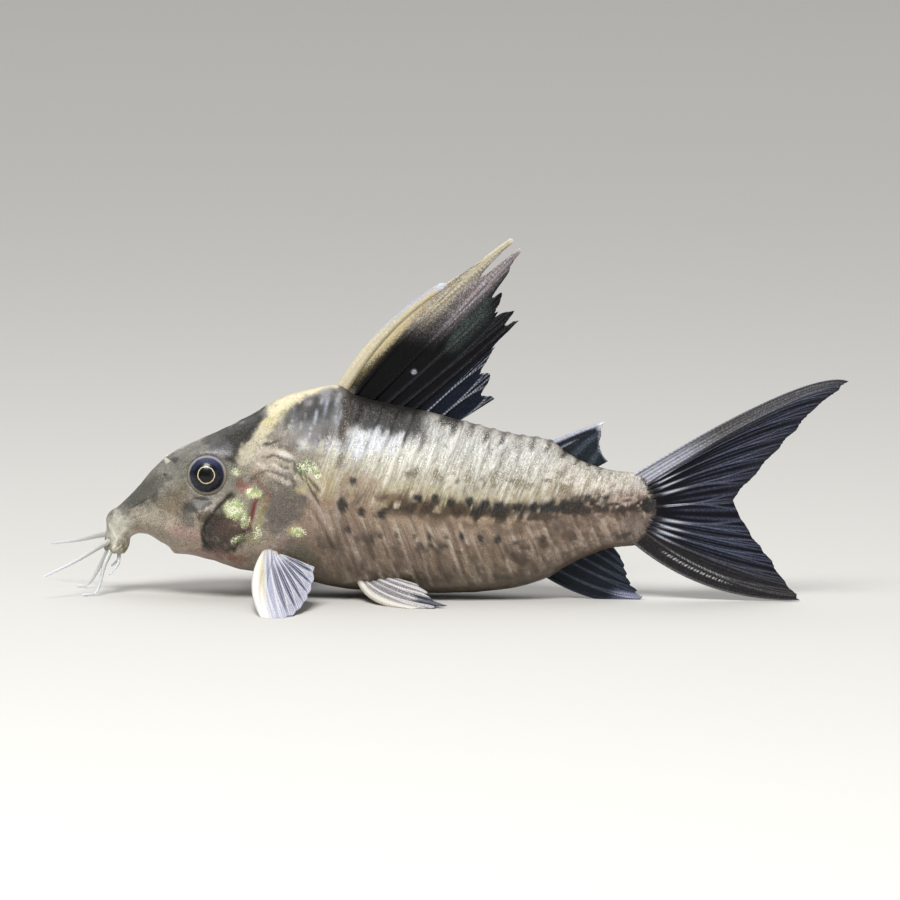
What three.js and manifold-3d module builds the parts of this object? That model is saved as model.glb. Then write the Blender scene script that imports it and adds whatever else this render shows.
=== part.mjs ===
// A long-snouted armoured catfish of the corydoras kind, life-size, resting on its fins.
// Millimetres, +Z up, the floor at z = 0. The fish faces -X and its left side is at -Y.
import * as THREE from "three";
import { mergeVertices } from "three/addons/utils/BufferGeometryUtils.js";
import Module from "manifold-3d";

const wasm = await Module();
wasm.setup();

// Driving dimensions
const GAP = 0.3; // clearance between neighbouring pieces
const HEAD_END = -20.6; // station of the gill opening, where head and trunk part
const HEAD_START = -42.4; // station of the floor of the mouth
const STALK_END = 24.2; // station where the flesh of the tail stalk ends
const AROUND = 36; // columns round the body

// Armour: two rows of plates a side, meeting along the lateral line
const SCUTE_START = -15.0;
const SCUTE_COUNT = 22;
const SCUTE_PITCH = 1.7;
const SCUTES_ON_TRUNK = 16;
const SCUTE_RISE = 0.32; // height of a plate's free rear edge
const SCUTE_REAR = 0.86; // share of the pitch at which the free edge stands
const SCUTE_SLANT = 0.36; // rearward lean of the plates above and below the lateral line
const BACK_MARGIN = THREE.MathUtils.degToRad(84); // the rows stop short of the back's ridge
const BELLY_MARGIN = THREE.MathUtils.degToRad(-66); // and of the bare belly

// Eyes
const EYE_RADIUS = 2.5;
const EYE_CENTRE = [-26.55, 3.35, 13.5];
const ORBIT_RADIUS = 2.75; // ring of skin round the eye
const ORBIT_WIRE = 0.42;

// Thickness of the fins
const MEMBRANE = 0.5;
const RAY_ROOT = 0.95;
const RAY_TIP = 0.5;

// Ribs of the body from the floor of the mouth to the end of the tail stalk. Each is an oval
// standing between a top and a bottom point [x, z], half as wide as `half`, widest at the share
// `mid` of its height. The powers shape its upper and lower arch: 2 is an ellipse, 3 is boxy.
const RIBS = [
  { s: -42.4, top: [-37.1, 5.4], bottom: [-36.3, 5.4], half: 0.45, mid: 0.5, upper: 2, lower: 2 },
  { s: -41.2, top: [-37.35, 4.25], bottom: [-35.95, 4.15], half: 1.15, mid: 0.5, upper: 2, lower: 2 },
  { s: -40.8, top: [-37.6, 4.0], bottom: [-35.7, 3.9], half: 1.75, mid: 0.5, upper: 2, lower: 2 },
  { s: -40.2, top: [-37.95, 4.6], bottom: [-35.4, 4.6], half: 2.25, mid: 0.5, upper: 2, lower: 2 },
  { s: -39.4, top: [-37.85, 5.5], bottom: [-35.3, 5.5], half: 2.05, mid: 0.5, upper: 2, lower: 2 },
  { s: -38.6, top: [-37.8, 6.9], bottom: [-35.1, 6.15], half: 2.15, mid: 0.5, upper: 2, lower: 2 },
  { s: -37.4, top: [-37.75, 8.2], bottom: [-34.65, 6.5], half: 2.35, mid: 0.48, upper: 2, lower: 2 },
  { s: -36.4, top: [-37.3, 9.1], bottom: [-34.0, 6.7], half: 2.55, mid: 0.46, upper: 2, lower: 2 },
  { s: -35.4, top: [-36.5, 9.6], bottom: [-33.3, 6.65], half: 2.8, mid: 0.44, upper: 1.9, lower: 2.1 },
  { s: -34.2, top: [-35.4, 10.65], bottom: [-32.4, 6.25], half: 3.15, mid: 0.42, upper: 1.9, lower: 2.2 },
  { s: -32.8, top: [-34.1, 12.1], bottom: [-31.5, 5.7], half: 3.6, mid: 0.4, upper: 1.85, lower: 2.3 },
  { s: -31.8, top: [-32.8, 13.7], bottom: [-30.8, 5.3], half: 4.05, mid: 0.38, upper: 1.85, lower: 2.3 },
  { s: -30.7, top: [-31.5, 15.0], bottom: [-30.0, 4.5], half: 4.55, mid: 0.37, upper: 1.8, lower: 2.3 },
  { s: -29.4, top: [-30.1, 16.0], bottom: [-28.8, 4.45], half: 5.05, mid: 0.36, upper: 1.8, lower: 2.4 },
  { s: -26.3, top: [-26.5, 17.7], bottom: [-26.1, 3.9], half: 6.1, mid: 0.37, upper: 1.8, lower: 2.4 },
  { s: -22.7, top: [-22.3, 19.8], bottom: [-23.2, 3.0], half: 6.95, mid: 0.38, upper: 1.8, lower: 2.4 },
  { s: -20.6, top: [-19.8, 21.3], bottom: [-21.5, 2.7], half: 7.3, mid: 0.4, upper: 1.8, lower: 2.4 },
  { s: -18.4, top: [-17.6, 22.35], bottom: [-19.3, 2.35], half: 7.55, mid: 0.42, upper: 1.8, lower: 2.4 },
  { s: -15.6, top: [-15.2, 23.0], bottom: [-16.1, 1.9], half: 7.65, mid: 0.44, upper: 1.8, lower: 2.4 },
  { s: -12.2, top: [-12.1, 23.55], bottom: [-12.3, 1.05], half: 7.5, mid: 0.45, upper: 1.75, lower: 2.4 },
  { s: -10.3, top: [-10.3, 22.5], bottom: [-10.3, 0.8], half: 7.35, mid: 0.45, upper: 1.8, lower: 2.4 },
  { s: -1.9, top: [-1.9, 20.65], bottom: [-1.9, 0.5], half: 6.65, mid: 0.45, upper: 1.85, lower: 2.4 },
  { s: 2.6, top: [2.6, 19.5], bottom: [2.6, 0.6], half: 6.0, mid: 0.45, upper: 1.85, lower: 2.3 },
  { s: 7.0, top: [7.0, 18.4], bottom: [7.0, 1.05], half: 5.15, mid: 0.46, upper: 1.9, lower: 2.2 },
  { s: 11.5, top: [11.5, 17.65], bottom: [11.5, 2.35], half: 4.15, mid: 0.48, upper: 1.9, lower: 2.1 },
  { s: 13.4, top: [13.4, 16.3], bottom: [13.4, 3.6], half: 3.65, mid: 0.49, upper: 2, lower: 2 },
  { s: 15.9, top: [15.9, 15.1], bottom: [15.9, 4.85], half: 3.05, mid: 0.5, upper: 2, lower: 2 },
  { s: 18.7, top: [18.7, 14.35], bottom: [18.7, 5.8], half: 2.45, mid: 0.5, upper: 2, lower: 2 },
  { s: 21.0, top: [21.0, 14.15], bottom: [21.0, 6.05], half: 1.95, mid: 0.5, upper: 2, lower: 2 },
  { s: 23.2, top: [23.2, 13.9], bottom: [23.2, 6.6], half: 1.35, mid: 0.5, upper: 2.2, lower: 2.2 },
  { s: 24.2, top: [24.0, 13.0], bottom: [24.0, 7.6], half: 0.8, mid: 0.5, upper: 2.2, lower: 2.2 },
];

// A smooth curve through [s, value] pairs that never overshoots them.
function smoothThrough(places, values) {
  const slope = (i) => (values[i + 1] - values[i]) / (places[i + 1] - places[i]);
  const tangent = (i) => {
    if (i === 0) return slope(0);
    if (i === places.length - 1) return slope(i - 1);
    const [before, after] = [slope(i - 1), slope(i)];
    return before * after <= 0 ? 0 : (2 * before * after) / (before + after);
  };
  return (s) => {
    const clamped = THREE.MathUtils.clamp(s, places[0], places[places.length - 1]);
    let i = 0;
    while (i < places.length - 2 && clamped > places[i + 1]) i++;
    const span = places[i + 1] - places[i];
    const t = (clamped - places[i]) / span;
    const stay = (1 + 2 * t) * (1 - t) ** 2;
    const leave = t * (1 - t) ** 2 * span;
    const arrive = t * t * (t - 1) * span;
    return values[i] * stay + values[i + 1] * (1 - stay) + tangent(i) * leave + tangent(i + 1) * arrive;
  };
}

const ribCurve = (read) =>
  smoothThrough(
    RIBS.map((rib) => rib.s),
    RIBS.map(read),
  );
const topX = ribCurve((rib) => rib.top[0]);
const topZ = ribCurve((rib) => rib.top[1]);
const bottomX = ribCurve((rib) => rib.bottom[0]);
const bottomZ = ribCurve((rib) => rib.bottom[1]);
const halfWidth = ribCurve((rib) => rib.half);
const widestShare = ribCurve((rib) => rib.mid);
const upperPower = ribCurve((rib) => rib.upper);
const lowerPower = ribCurve((rib) => rib.lower);

// The bare body surface at station s. The angle is 0 on the right flank and a quarter turn on the back.
function bareSkin(s, angle) {
  const [side, rise] = [Math.cos(angle), Math.sin(angle)];
  const power = rise >= 0 ? upperPower(s) : lowerPower(s);
  const lift = Math.abs(rise) ** (2 / power);
  const mid = widestShare(s);
  const share = rise >= 0 ? mid + (1 - mid) * lift : mid * (1 - lift);
  return new THREE.Vector3(
    THREE.MathUtils.lerp(bottomX(s), topX(s), share),
    halfWidth(s) * Math.sign(side) * Math.abs(side) ** (2 / power),
    THREE.MathUtils.lerp(bottomZ(s), topZ(s), share),
  );
}

function skinNormal(s, angle) {
  const step = 0.02;
  const along = bareSkin(s + step, angle).sub(bareSkin(s - step, angle));
  const around = bareSkin(s, angle + step).sub(bareSkin(s, angle - step));
  return around.cross(along).normalize();
}

// How far the plates lean back at a height above or below the lateral line.
function chevron(s, angle) {
  const eased =
    THREE.MathUtils.smoothstep(s, HEAD_END, SCUTE_START + 2 * SCUTE_PITCH) -
    THREE.MathUtils.smoothstep(s, STALK_END - 6, STALK_END);
  const height = Math.abs(bareSkin(s, angle).z - bareSkin(s, 0).z);
  return s + SCUTE_SLANT * eased * height;
}

// Height of the armour: it rises along each plate to a free rear edge, in a row above and a row
// below the lateral line.
function armour(s, angle) {
  const along = (s - SCUTE_START) / SCUTE_PITCH;
  if (along < 0 || along > SCUTE_COUNT) return 0;
  const onPlate = Math.min(1, (along - Math.floor(along + 1e-6)) / SCUTE_REAR);
  const fold = Math.asin(Math.sin(angle)); // the same on both flanks
  const margin = fold > 0 ? BACK_MARGIN : BELLY_MARGIN;
  const inRow = Math.min(1, Math.abs(fold) / 0.15, Math.abs(margin - fold) / 0.25);
  const beyond = fold > BACK_MARGIN || fold < BELLY_MARGIN;
  return beyond ? 0 : SCUTE_RISE * onPlate * inRow;
}

// A closed solid from three.js geometry: corners that meet are merged and the faces point out.
function solidOf(geometry) {
  geometry.deleteAttribute("normal");
  geometry.deleteAttribute("uv");
  const merged = mergeVertices(geometry, 1e-5);
  const vertProperties = merged.attributes.position.array;
  const triVerts = new Uint32Array(merged.index.array);
  const made = new wasm.Manifold(new wasm.Mesh({ numProp: 3, vertProperties, triVerts }));
  if (made.volume() > 0) return made;
  return new wasm.Manifold(new wasm.Mesh({ numProp: 3, vertProperties, triVerts: triVerts.reverse() }));
}

// A closed tube of rings. place(ring, turn) gives the point of a ring at a share of a turn.
function tube(ringCount, around, place) {
  const geometry = new THREE.CylinderGeometry(1, 1, ringCount, around, ringCount);
  const position = geometry.attributes.position;
  for (let i = 0; i < position.count; i++) {
    const [x, y, z] = [position.getX(i), position.getY(i), position.getZ(i)];
    const ring = Math.round(y + ringCount / 2);
    const column = (Math.round((Math.atan2(z, x) / (2 * Math.PI)) * around) + around) % around;
    const point = new THREE.Vector3();
    if (Math.hypot(x, z) > 0.5) {
      point.copy(place(ring, column / around));
    } else {
      for (let c = 0; c < around; c++) point.addScaledVector(place(ring, c / around), 1 / around);
    }
    position.setXYZ(i, point.x, point.y, point.z);
  }
  return solidOf(geometry);
}

// A length of the body between given stations. grow sets it proud of the true surface.
function bodyLength(stations, { grow = 0, armoured = true, around = AROUND } = {}) {
  return tube(stations.length - 1, around, (ring, turn) => {
    const angle = 2 * Math.PI * turn;
    const s = chevron(stations[ring], angle);
    const rise = grow + (armoured ? armour(stations[ring], angle) : 0);
    return bareSkin(s, angle).addScaledVector(skinNormal(s, angle), rise);
  });
}

const steps = (from, to, count) => Array.from({ length: count + 1 }, (_, i) => from + ((to - from) * i) / count);

// Two rings a plate: one where it comes out from under the plate before it, one at its free edge.
const scuteStations = (first, last) =>
  Array.from({ length: last - first }, (_, i) => SCUTE_START + SCUTE_PITCH * (first + i)).flatMap((s) => [
    s,
    s + SCUTE_PITCH * SCUTE_REAR,
  ]);
const stalkStart = SCUTE_START + SCUTE_PITCH * SCUTES_ON_TRUNK;
const headStations = [...RIBS.filter((rib) => rib.s < -36).map((rib) => rib.s), ...steps(-35.6, HEAD_END, 18)];
const trunkStations = [HEAD_END + GAP, -18.6, -16.8, ...scuteStations(0, SCUTES_ON_TRUNK), stalkStart - GAP / 2];
const stalkStations = [stalkStart + GAP / 2, ...scuteStations(SCUTES_ON_TRUNK, SCUTE_COUNT).slice(1), 23.2, STALK_END];

const box = (size, centre) => solidOf(new THREE.BoxGeometry(...size).translate(...centre));
const floorBlock = box([140, 80, 20], [0, 0, -10]);
const largestOf = (solid) => solid.decompose().sort((a, b) => b.volume() - a.volume())[0];

// Head

function ball(radius, centre, across, down) {
  return solidOf(new THREE.SphereGeometry(radius, across, down).rotateX(Math.PI / 2).translate(...centre));
}

const eyeCentre = (side) => new THREE.Vector3(EYE_CENTRE[0], side * EYE_CENTRE[1], EYE_CENTRE[2]);
const eyeAxis = (side) => new THREE.Vector3(-0.08, side * 0.92, 0.34).normalize();

// The ring of skin that frames the eye.
function orbitRing(side) {
  const out = Math.sqrt(EYE_RADIUS ** 2 - 2.15 ** 2);
  const ring = new THREE.TorusGeometry(ORBIT_RADIUS, ORBIT_WIRE, 6, 24);
  ring.applyQuaternion(new THREE.Quaternion().setFromUnitVectors(new THREE.Vector3(0, 0, 1), eyeAxis(side)));
  const centre = eyeCentre(side).addScaledVector(eyeAxis(side), out - 0.25);
  return solidOf(ring.translate(centre.x, centre.y, centre.z));
}

// The gill cover's outline on the flank [x, z], from its top corner down the rear edge and back
// up the curved front edge.
const GILL_COVER = [
  [-20.9, 13.2],
  [-21.35, 11.0],
  [-21.75, 9.0],
  [-22.2, 7.3],
  [-23.0, 5.9],
  [-24.4, 5.2],
  [-25.8, 5.4],
  [-26.7, 6.5],
  [-26.9, 8.2],
  [-26.2, 9.9],
  [-24.8, 11.3],
  [-23.2, 12.6],
];
const GILL_COVER_MIDDLE = [-23.9, 8.9];
const GILL_COVER_DEPTH = 0.9;

// A prism of an outline on the flank, from near the middle of the fish to past its side.
function flankPrism(outline, side) {
  const shape = new THREE.Shape(outline.map(([x, z]) => new THREE.Vector2(x, z)));
  const geometry = new THREE.ExtrudeGeometry(shape, { depth: 10, bevelEnabled: false, steps: 1 });
  geometry.rotateX(Math.PI / 2); // the outline stands in the XZ plane and runs towards -Y
  geometry.translate(0, side < 0 ? -2 : 12, 0);
  return solidOf(geometry);
}

function gillCover(side) {
  const stations = steps(-29.5, -18.5, 14);
  const outer = bodyLength(stations, { grow: 0.15, armoured: false });
  const inner = bodyLength(steps(-30.5, -17.5, 14), { grow: -GILL_COVER_DEPTH, armoured: false });
  const plate = flankPrism(GILL_COVER, side).intersect(outer).subtract(inner);
  return largestOf(plate);
}

// The pocket behind the gill cover, open to the rear as the gill opening is.
function gillPocket(side) {
  const [cx, cz] = GILL_COVER_MIDDLE;
  const widened = GILL_COVER.map(([x, z]) => {
    const reach = Math.hypot(x - cx, z - cz);
    const grown = (reach + GAP) / reach;
    const openRear = x > -22.4 ? 1.8 : 0;
    return [cx + (x - cx) * grown + openRear, cz + (z - cz) * grown];
  });
  const floor = bodyLength(steps(-31, -17, 14), { grow: -GILL_COVER_DEPTH - GAP, armoured: false });
  return flankPrism(widened, side).subtract(floor);
}

// A nostril: a small pit with a flap of skin standing behind it.
function nostrilFlap(side) {
  const flap = new THREE.ConeGeometry(0.42, 1.5, 7).rotateX(Math.PI / 2);
  flap.rotateY(-0.5).translate(-31.0, side * 1.7, 14.75);
  return solidOf(flap);
}
const nostrilPit = (side) => ball(0.42, [-31.95, side * 1.95, 13.75], 8, 6);

function makeHead() {
  let head = bodyLength(headStations, { armoured: false, around: 32 });
  for (const side of [-1, 1]) {
    const socket = ball(EYE_RADIUS + GAP, eyeCentre(side).toArray(), 20, 14);
    head = head.add(orbitRing(side)).add(nostrilFlap(side));
    head = head.subtract(socket).subtract(nostrilPit(side)).subtract(gillPocket(side));
  }
  return largestOf(head);
}

const head = makeHead();
const trunk = bodyLength(trunkStations);
const stalk = bodyLength(stalkStations, { around: 32 });

// The body grown by the gap: whatever sits on the body is cut clear with it.
const clearance = [
  bodyLength([...RIBS.filter((rib) => rib.s < -36).map((rib) => rib.s), ...steps(-35.6, -19.8, 18)], {
    grow: GAP,
    armoured: false,
  }),
  bodyLength([-21, ...trunkStations.slice(1, -1), stalkStart + 0.4], { grow: GAP }),
  bodyLength([stalkStart - 0.4, ...stalkStations.slice(1)], { grow: GAP }),
];
function clearOfBody(solid) {
  let cleared = solid;
  for (const length of clearance) cleared = cleared.subtract(length);
  return largestOf(cleared.subtract(floorBlock));
}

// Fins

const vector = ([x, y, z]) => new THREE.Vector3(x, y, z);

// A ray runs from its root to its tip, bowed by an offset at its middle.
function rayPoint(ray, share) {
  const middle = ray.root.clone().lerp(ray.tip, 0.5).addScaledVector(ray.bow, 2);
  const first = ray.root.clone().lerp(middle, share);
  const second = middle.lerp(ray.tip, share);
  return first.lerp(second, share);
}

// A fin of rays joined by thinner membrane. Each ray is a ridge raised in both faces, and the
// membrane's free edge is cut back between the tips by the share in `notches`. Both faces are
// split into triangles alike.
function finSolid(rays, notches, { rows = 8, rootEdge = 0, rearEdge = 0 } = {}) {
  const columns = rays.flatMap((ray, i) => {
    const own = { at: (u) => rayPoint(ray, u), thick: (u) => THREE.MathUtils.lerp(ray.thick, RAY_TIP, u) };
    if (i === rays.length - 1) return [own];
    const next = rays[i + 1];
    const reach = 1 - notches[i];
    const web = {
      at: (u) => rayPoint(ray, u * reach).lerp(rayPoint(next, u * reach), 0.5),
      thick: () => MEMBRANE,
    };
    return [own, web];
  });
  const edgeWeb = (ray, beside, out) => ({
    at: (u) => rayPoint(ray, u * 0.93).lerp(rayPoint(beside, u * 0.93), -out),
    thick: () => MEMBRANE,
  });
  if (rootEdge) columns.unshift(edgeWeb(rays[0], rays[1], rootEdge));
  if (rearEdge) columns.push(edgeWeb(rays.at(-1), rays.at(-2), rearEdge));
  const last = columns.length - 1;
  const middle = (c, r) => columns[c].at(r / rows);
  const normal = (c, r) => {
    const across = middle(Math.min(c + 1, last), r).sub(middle(Math.max(c - 1, 0), r));
    const along = middle(c, Math.min(r + 1, rows)).sub(middle(c, Math.max(r - 1, 0)));
    return across.cross(along).normalize();
  };
  const geometry = new THREE.BoxGeometry(last, rows, 1, last, rows, 1);
  const position = geometry.attributes.position;
  for (let i = 0; i < position.count; i++) {
    const c = Math.round(position.getX(i) + last / 2);
    const r = Math.round(position.getY(i) + rows / 2);
    const half = Math.sign(position.getZ(i)) * 0.5 * columns[c].thick(r / rows);
    const point = middle(c, r).addScaledVector(normal(c, r), half);
    position.setXYZ(i, point.x, point.y, point.z);
  }
  const rearFace = geometry.groups[5];
  const index = geometry.index.array;
  for (let i = rearFace.start; i < rearFace.start + rearFace.count; i += 6) {
    const [a, b, d, , c] = index.slice(i, i + 6);
    index.set([a, b, c, a, c, d], i);
  }
  return solidOf(geometry);
}

// Rays listed as [root, tip, bow], each a point or offset in [x, y, z], with a stout first ray.
const raysFrom = (list, side, firstThick) =>
  list.map(([root, tip, bow], i) => ({
    root: vector(root).multiply(new THREE.Vector3(1, side, 1)),
    tip: vector(tip).multiply(new THREE.Vector3(1, side, 1)),
    bow: vector(bow ?? [0, 0, 0]).multiply(new THREE.Vector3(1, side, 1)),
    thick: i === 0 ? firstThick : RAY_ROOT,
  }));

// Rays of a fin on the middle plane are listed as [root x, z], [tip x, z], [bow x, z].
const uprightRays = (list, firstThick) =>
  raysFrom(
    list.map(([root, tip, bow = [0, 0]]) => [
      [root[0], 0, root[1]],
      [tip[0], 0, tip[1]],
      [bow[0], 0, bow[1]],
    ]),
    1,
    firstThick,
  );

const DORSAL_RAYS = [
  [[-12.8, 21.6], [-0.6, 34.8], [-0.85, 1.0]],
  [[-11.4, 20.9], [7.1, 40.1], [-0.6, 0.7]],
  [[-9.6, 20.6], [8.0, 39.1], [0.1, -0.1]],
  [[-8.0, 20.4], [5.9, 34.0], [0.2, -0.2]],
  [[-6.5, 20.1], [7.3, 32.1], [0.1, -0.1]],
  [[-5.0, 19.8], [7.8, 31.0], [0, 0]],
  [[-3.5, 19.5], [4.9, 27.6], [0, 0]],
  [[-1.9, 19.1], [4.7, 24.9], [0, 0]],
  [[-0.3, 18.6], [5.2, 22.2], [0, 0]],
];
const DORSAL_NOTCHES = [0.05, 0.3, 0.1, 0.12, 0.1, 0.12, 0.14, 0.2];

const CAUDAL_UPPER_RAYS = [
  [[19.2, 13.0], [44.5, 24.7], [4.2, 3.8]],
  [[22.0, 12.9], [43.4, 23.7], [3.0, 2.8]],
  [[23.0, 12.5], [40.8, 21.6], [1.8, 1.8]],
  [[23.0, 12.1], [38.8, 19.2], [0.8, 1.0]],
  [[23.0, 11.6], [36.9, 17.1], [0, 0.4]],
  [[23.0, 11.1], [34.4, 14.2], [0, 0.3]],
  [[23.0, 10.6], [32.1, 11.75], [0, 0.05]],
];
const CAUDAL_LOWER_RAYS = [
  [[19.6, 7.3], [39.6, 0.15], [-0.8, -2.0]],
  [[22.2, 7.5], [39.2, 0.8], [-0.5, -1.25]],
  [[23.0, 8.0], [37.8, 2.3], [-0.2, -0.5]],
  [[23.0, 8.4], [36.3, 4.6], [0, -0.4]],
  [[23.0, 8.9], [35.0, 6.2], [0, -0.3]],
  [[23.0, 9.4], [33.7, 7.9], [0, -0.2]],
  [[23.0, 9.9], [32.3, 10.35], [0, -0.05]],
];
const CAUDAL_NOTCHES = [0.03, 0.05, 0.05, 0.06, 0.06, 0.06];

const ANAL_RAYS = [
  [[9.9, 3.1], [22.5, -0.1], [0.3, -1.45]],
  [[11.6, 3.9], [22.0, 0.3], [0.1, -0.9]],
  [[13.3, 4.6], [21.3, 1.1], [0, -0.4]],
  [[14.5, 5.2], [20.6, 1.9], [0, -0.2]],
  [[15.7, 5.8], [20.2, 2.9], [0, 0]],
  [[16.9, 6.3], [19.9, 3.9], [0, 0]],
  [[18.0, 6.7], [19.4, 4.9], [0, 0]],
];
const ANAL_NOTCHES = [0.03, 0.06, 0.08, 0.08, 0.08, 0.08];

const ADIPOSE_RAYS = [
  [[10.2, 16.6], [17.5, 19.8], [0, 0.5]],
  [[12.2, 15.4], [17.1, 18.3], [0, 0.2]],
  [[14.0, 14.6], [17.0, 16.8], [0, 0]],
  [[15.4, 14.0], [17.9, 15.4], [0, 0]],
];
const ADIPOSE_NOTCHES = [0.03, 0.03, 0.03];

// Paired fins are listed for the side at +Y as [root], [tip], [bow].
const PECTORAL_RAYS = [
  [[-20.1, 5.0, 5.6], [-20.0, 20.8, -0.1], [-1.2, 0.3, 0.1]],
  [[-19.8, 5.1, 5.5], [-18.6, 21.4, -0.1], [-0.5, 0, 0.1]],
  [[-19.6, 5.2, 5.5], [-17.5, 21.0, -0.1], [-0.3, 0, 0]],
  [[-19.4, 5.3, 5.4], [-16.5, 19.4, 0.1], [-0.1, 0, 0]],
  [[-19.2, 5.4, 5.4], [-15.7, 17.3, 0.65], [0, 0, 0]],
  [[-19.0, 5.5, 5.4], [-15.1, 15.0, 1.3], [0, 0, 0]],
  [[-18.8, 5.5, 5.3], [-14.7, 13.0, 2.1], [0, 0, 0]],
  [[-18.6, 5.6, 5.3], [-14.4, 11.2, 3.1], [0, 0, 0]],
  [[-18.4, 5.7, 5.3], [-14.4, 9.6, 4.3], [0, 0, 0]],
];
const PECTORAL_NOTCHES = [0.02, 0.03, 0.05, 0.06, 0.06, 0.07, 0.07, 0.08];

const PELVIC_RAYS = [
  [[-10.0, 3.0, 2.6], [-3.9, 11.4, 0.0], [-1.2, 0.6, -0.6]],
  [[-9.6, 3.0, 2.7], [-1.2, 11.2, 0.1], [-0.9, 0.5, -0.5]],
  [[-9.2, 3.0, 2.8], [0.3, 10.5, 0.3], [-0.7, 0.4, -0.4]],
  [[-8.8, 3.0, 2.9], [-1.6, 9.2, 0.95], [-0.4, 0.3, -0.1]],
  [[-8.4, 3.0, 3.0], [-1.9, 7.9, 1.45], [-0.2, 0.2, 0]],
  [[-8.0, 3.0, 3.1], [-3.0, 6.6, 2.1], [0, 0.1, 0]],
];
const PELVIC_NOTCHES = [0.03, 0.05, 0.07, 0.07, 0.08];

// Barbels

// A barbel is a tapered feeler along a smooth curve through its points.
function barbel(points, side, rootRadius, tipRadius) {
  const curve = new THREE.CatmullRomCurve3(points.map((p) => vector(p).multiply(new THREE.Vector3(1, side, 1))));
  const rings = 14;
  const frames = curve.computeFrenetFrames(rings, false);
  return tube(rings, 8, (ring, turn) => {
    const radius = THREE.MathUtils.lerp(rootRadius, tipRadius, ring / rings);
    const [sine, cosine] = [Math.sin(2 * Math.PI * turn), Math.cos(2 * Math.PI * turn)];
    return curve
      .getPointAt(ring / rings)
      .addScaledVector(frames.normals[ring], radius * cosine)
      .addScaledVector(frames.binormals[ring], radius * sine);
  });
}

const BARBELS = {
  barbel_maxillary_left: { side: -1, points: [[-37.2, 1.5, 6.0], [-38.6, 3.0, 5.3], [-41.0, 5.3, 4.0], [-44.45, 8.0, 2.5]] },
  barbel_maxillary_right: { side: 1, points: [[-37.2, 1.5, 6.4], [-38.6, 3.0, 6.0], [-41.0, 5.3, 5.2], [-44.3, 8.0, 4.4]] },
  barbel_outer_mental_left: {
    side: -1,
    points: [[-37.0, 1.3, 5.3], [-37.9, 2.6, 3.1], [-38.4, 3.3, 1.0], [-38.9, 3.7, 0.25], [-40.3, 4.4, 0.17]],
  },
  barbel_outer_mental_right: {
    side: 1,
    points: [[-37.2, 1.3, 5.3], [-38.4, 2.7, 2.9], [-39.6, 3.4, 0.8], [-40.3, 3.7, 0.25], [-41.3, 4.1, 0.17]],
  },
  barbel_inner_mental_left: { side: -1, points: [[-36.3, 0.9, 5.2], [-36.3, 1.6, 3.6], [-36.7, 2.1, 2.9], [-37.3, 2.3, 2.2]] },
  barbel_inner_mental_right: { side: 1, points: [[-36.3, 0.9, 5.2], [-36.4, 1.6, 3.6], [-36.8, 2.1, 3.1], [-37.3, 2.4, 2.6]] },
};

// Materials, from the fish's colours
const material = (color, roughness) => new THREE.MeshStandardMaterial({ color, roughness, metalness: 0 });
const SKIN = material(0xb8a68e, 0.45);
const HEAD_SKIN = material(0x8e8878, 0.45);
const GILL_SKIN = material(0x9c7f66, 0.35);
const EYE = material(0x141622, 0.05);
const BARBEL = material(0xc9c6b8, 0.4);
const PALE_FIN = material(0xc8c8d0, 0.35);
const DARK_FIN = material(0x33343c, 0.35);

const fish = new THREE.Group();

// Adds a solid as a named node whose own origin is its root.
function addNode(name, solid, finish, root) {
  const mesh = solid.getMesh();
  const geometry = new THREE.BufferGeometry();
  geometry.setAttribute("position", new THREE.BufferAttribute(new Float32Array(mesh.vertProperties), 3));
  geometry.setIndex(new THREE.BufferAttribute(mesh.triVerts, 1));
  geometry.translate(-root[0], -root[1], -root[2]);
  geometry.computeVertexNormals();
  const node = new THREE.Mesh(geometry, finish);
  node.name = name;
  node.position.set(...root);
  fish.add(node);
}

const sideName = (side) => (side < 0 ? "left" : "right");

addNode("head", head, HEAD_SKIN, [0, 0, 0]);
addNode("trunk", trunk, SKIN, [0, 0, 0]);
addNode("tail_stalk", stalk, SKIN, [0, 0, 0]);
for (const side of [-1, 1]) {
  const centre = eyeCentre(side).toArray();
  addNode(`gill_cover_${sideName(side)}`, gillCover(side), GILL_SKIN, [0, 0, 0]);
  addNode(`eye_${sideName(side)}`, ball(EYE_RADIUS, centre, 20, 12), EYE, centre);
}
for (const [name, { side, points }] of Object.entries(BARBELS)) {
  const short = name.includes("inner");
  const feeler = barbel(points, side, short ? 0.32 : 0.42, short ? 0.18 : 0.2);
  addNode(name, clearOfBody(feeler), BARBEL, [points[0][0], side * points[0][1], points[0][2]]);
}

const dorsal = finSolid(uprightRays(DORSAL_RAYS, 1.5), DORSAL_NOTCHES, { rows: 12 });
addNode("dorsal_fin", clearOfBody(dorsal), DARK_FIN, [-11.6, 0, 22.7]);
const adipose = finSolid(uprightRays(ADIPOSE_RAYS, 1.1), ADIPOSE_NOTCHES, { rows: 6 });
addNode("adipose_fin", clearOfBody(adipose), DARK_FIN, [11.7, 0, 17.8]);
const anal = finSolid(uprightRays(ANAL_RAYS, 1.0), ANAL_NOTCHES, { rows: 8 });
addNode("anal_fin", clearOfBody(anal), DARK_FIN, [11.2, 0, 2.6]);
const caudalUpper = finSolid(uprightRays(CAUDAL_UPPER_RAYS, 1.0), CAUDAL_NOTCHES, { rows: 12, rearEdge: 0.2 });
addNode("caudal_fin_upper", clearOfBody(caudalUpper), DARK_FIN, [24, 0, 12]);
const caudalLower = finSolid(uprightRays(CAUDAL_LOWER_RAYS, 1.0), CAUDAL_NOTCHES, { rows: 12, rearEdge: 0.2 });
addNode("caudal_fin_lower", clearOfBody(caudalLower), DARK_FIN, [24, 0, 8.5]);
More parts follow.
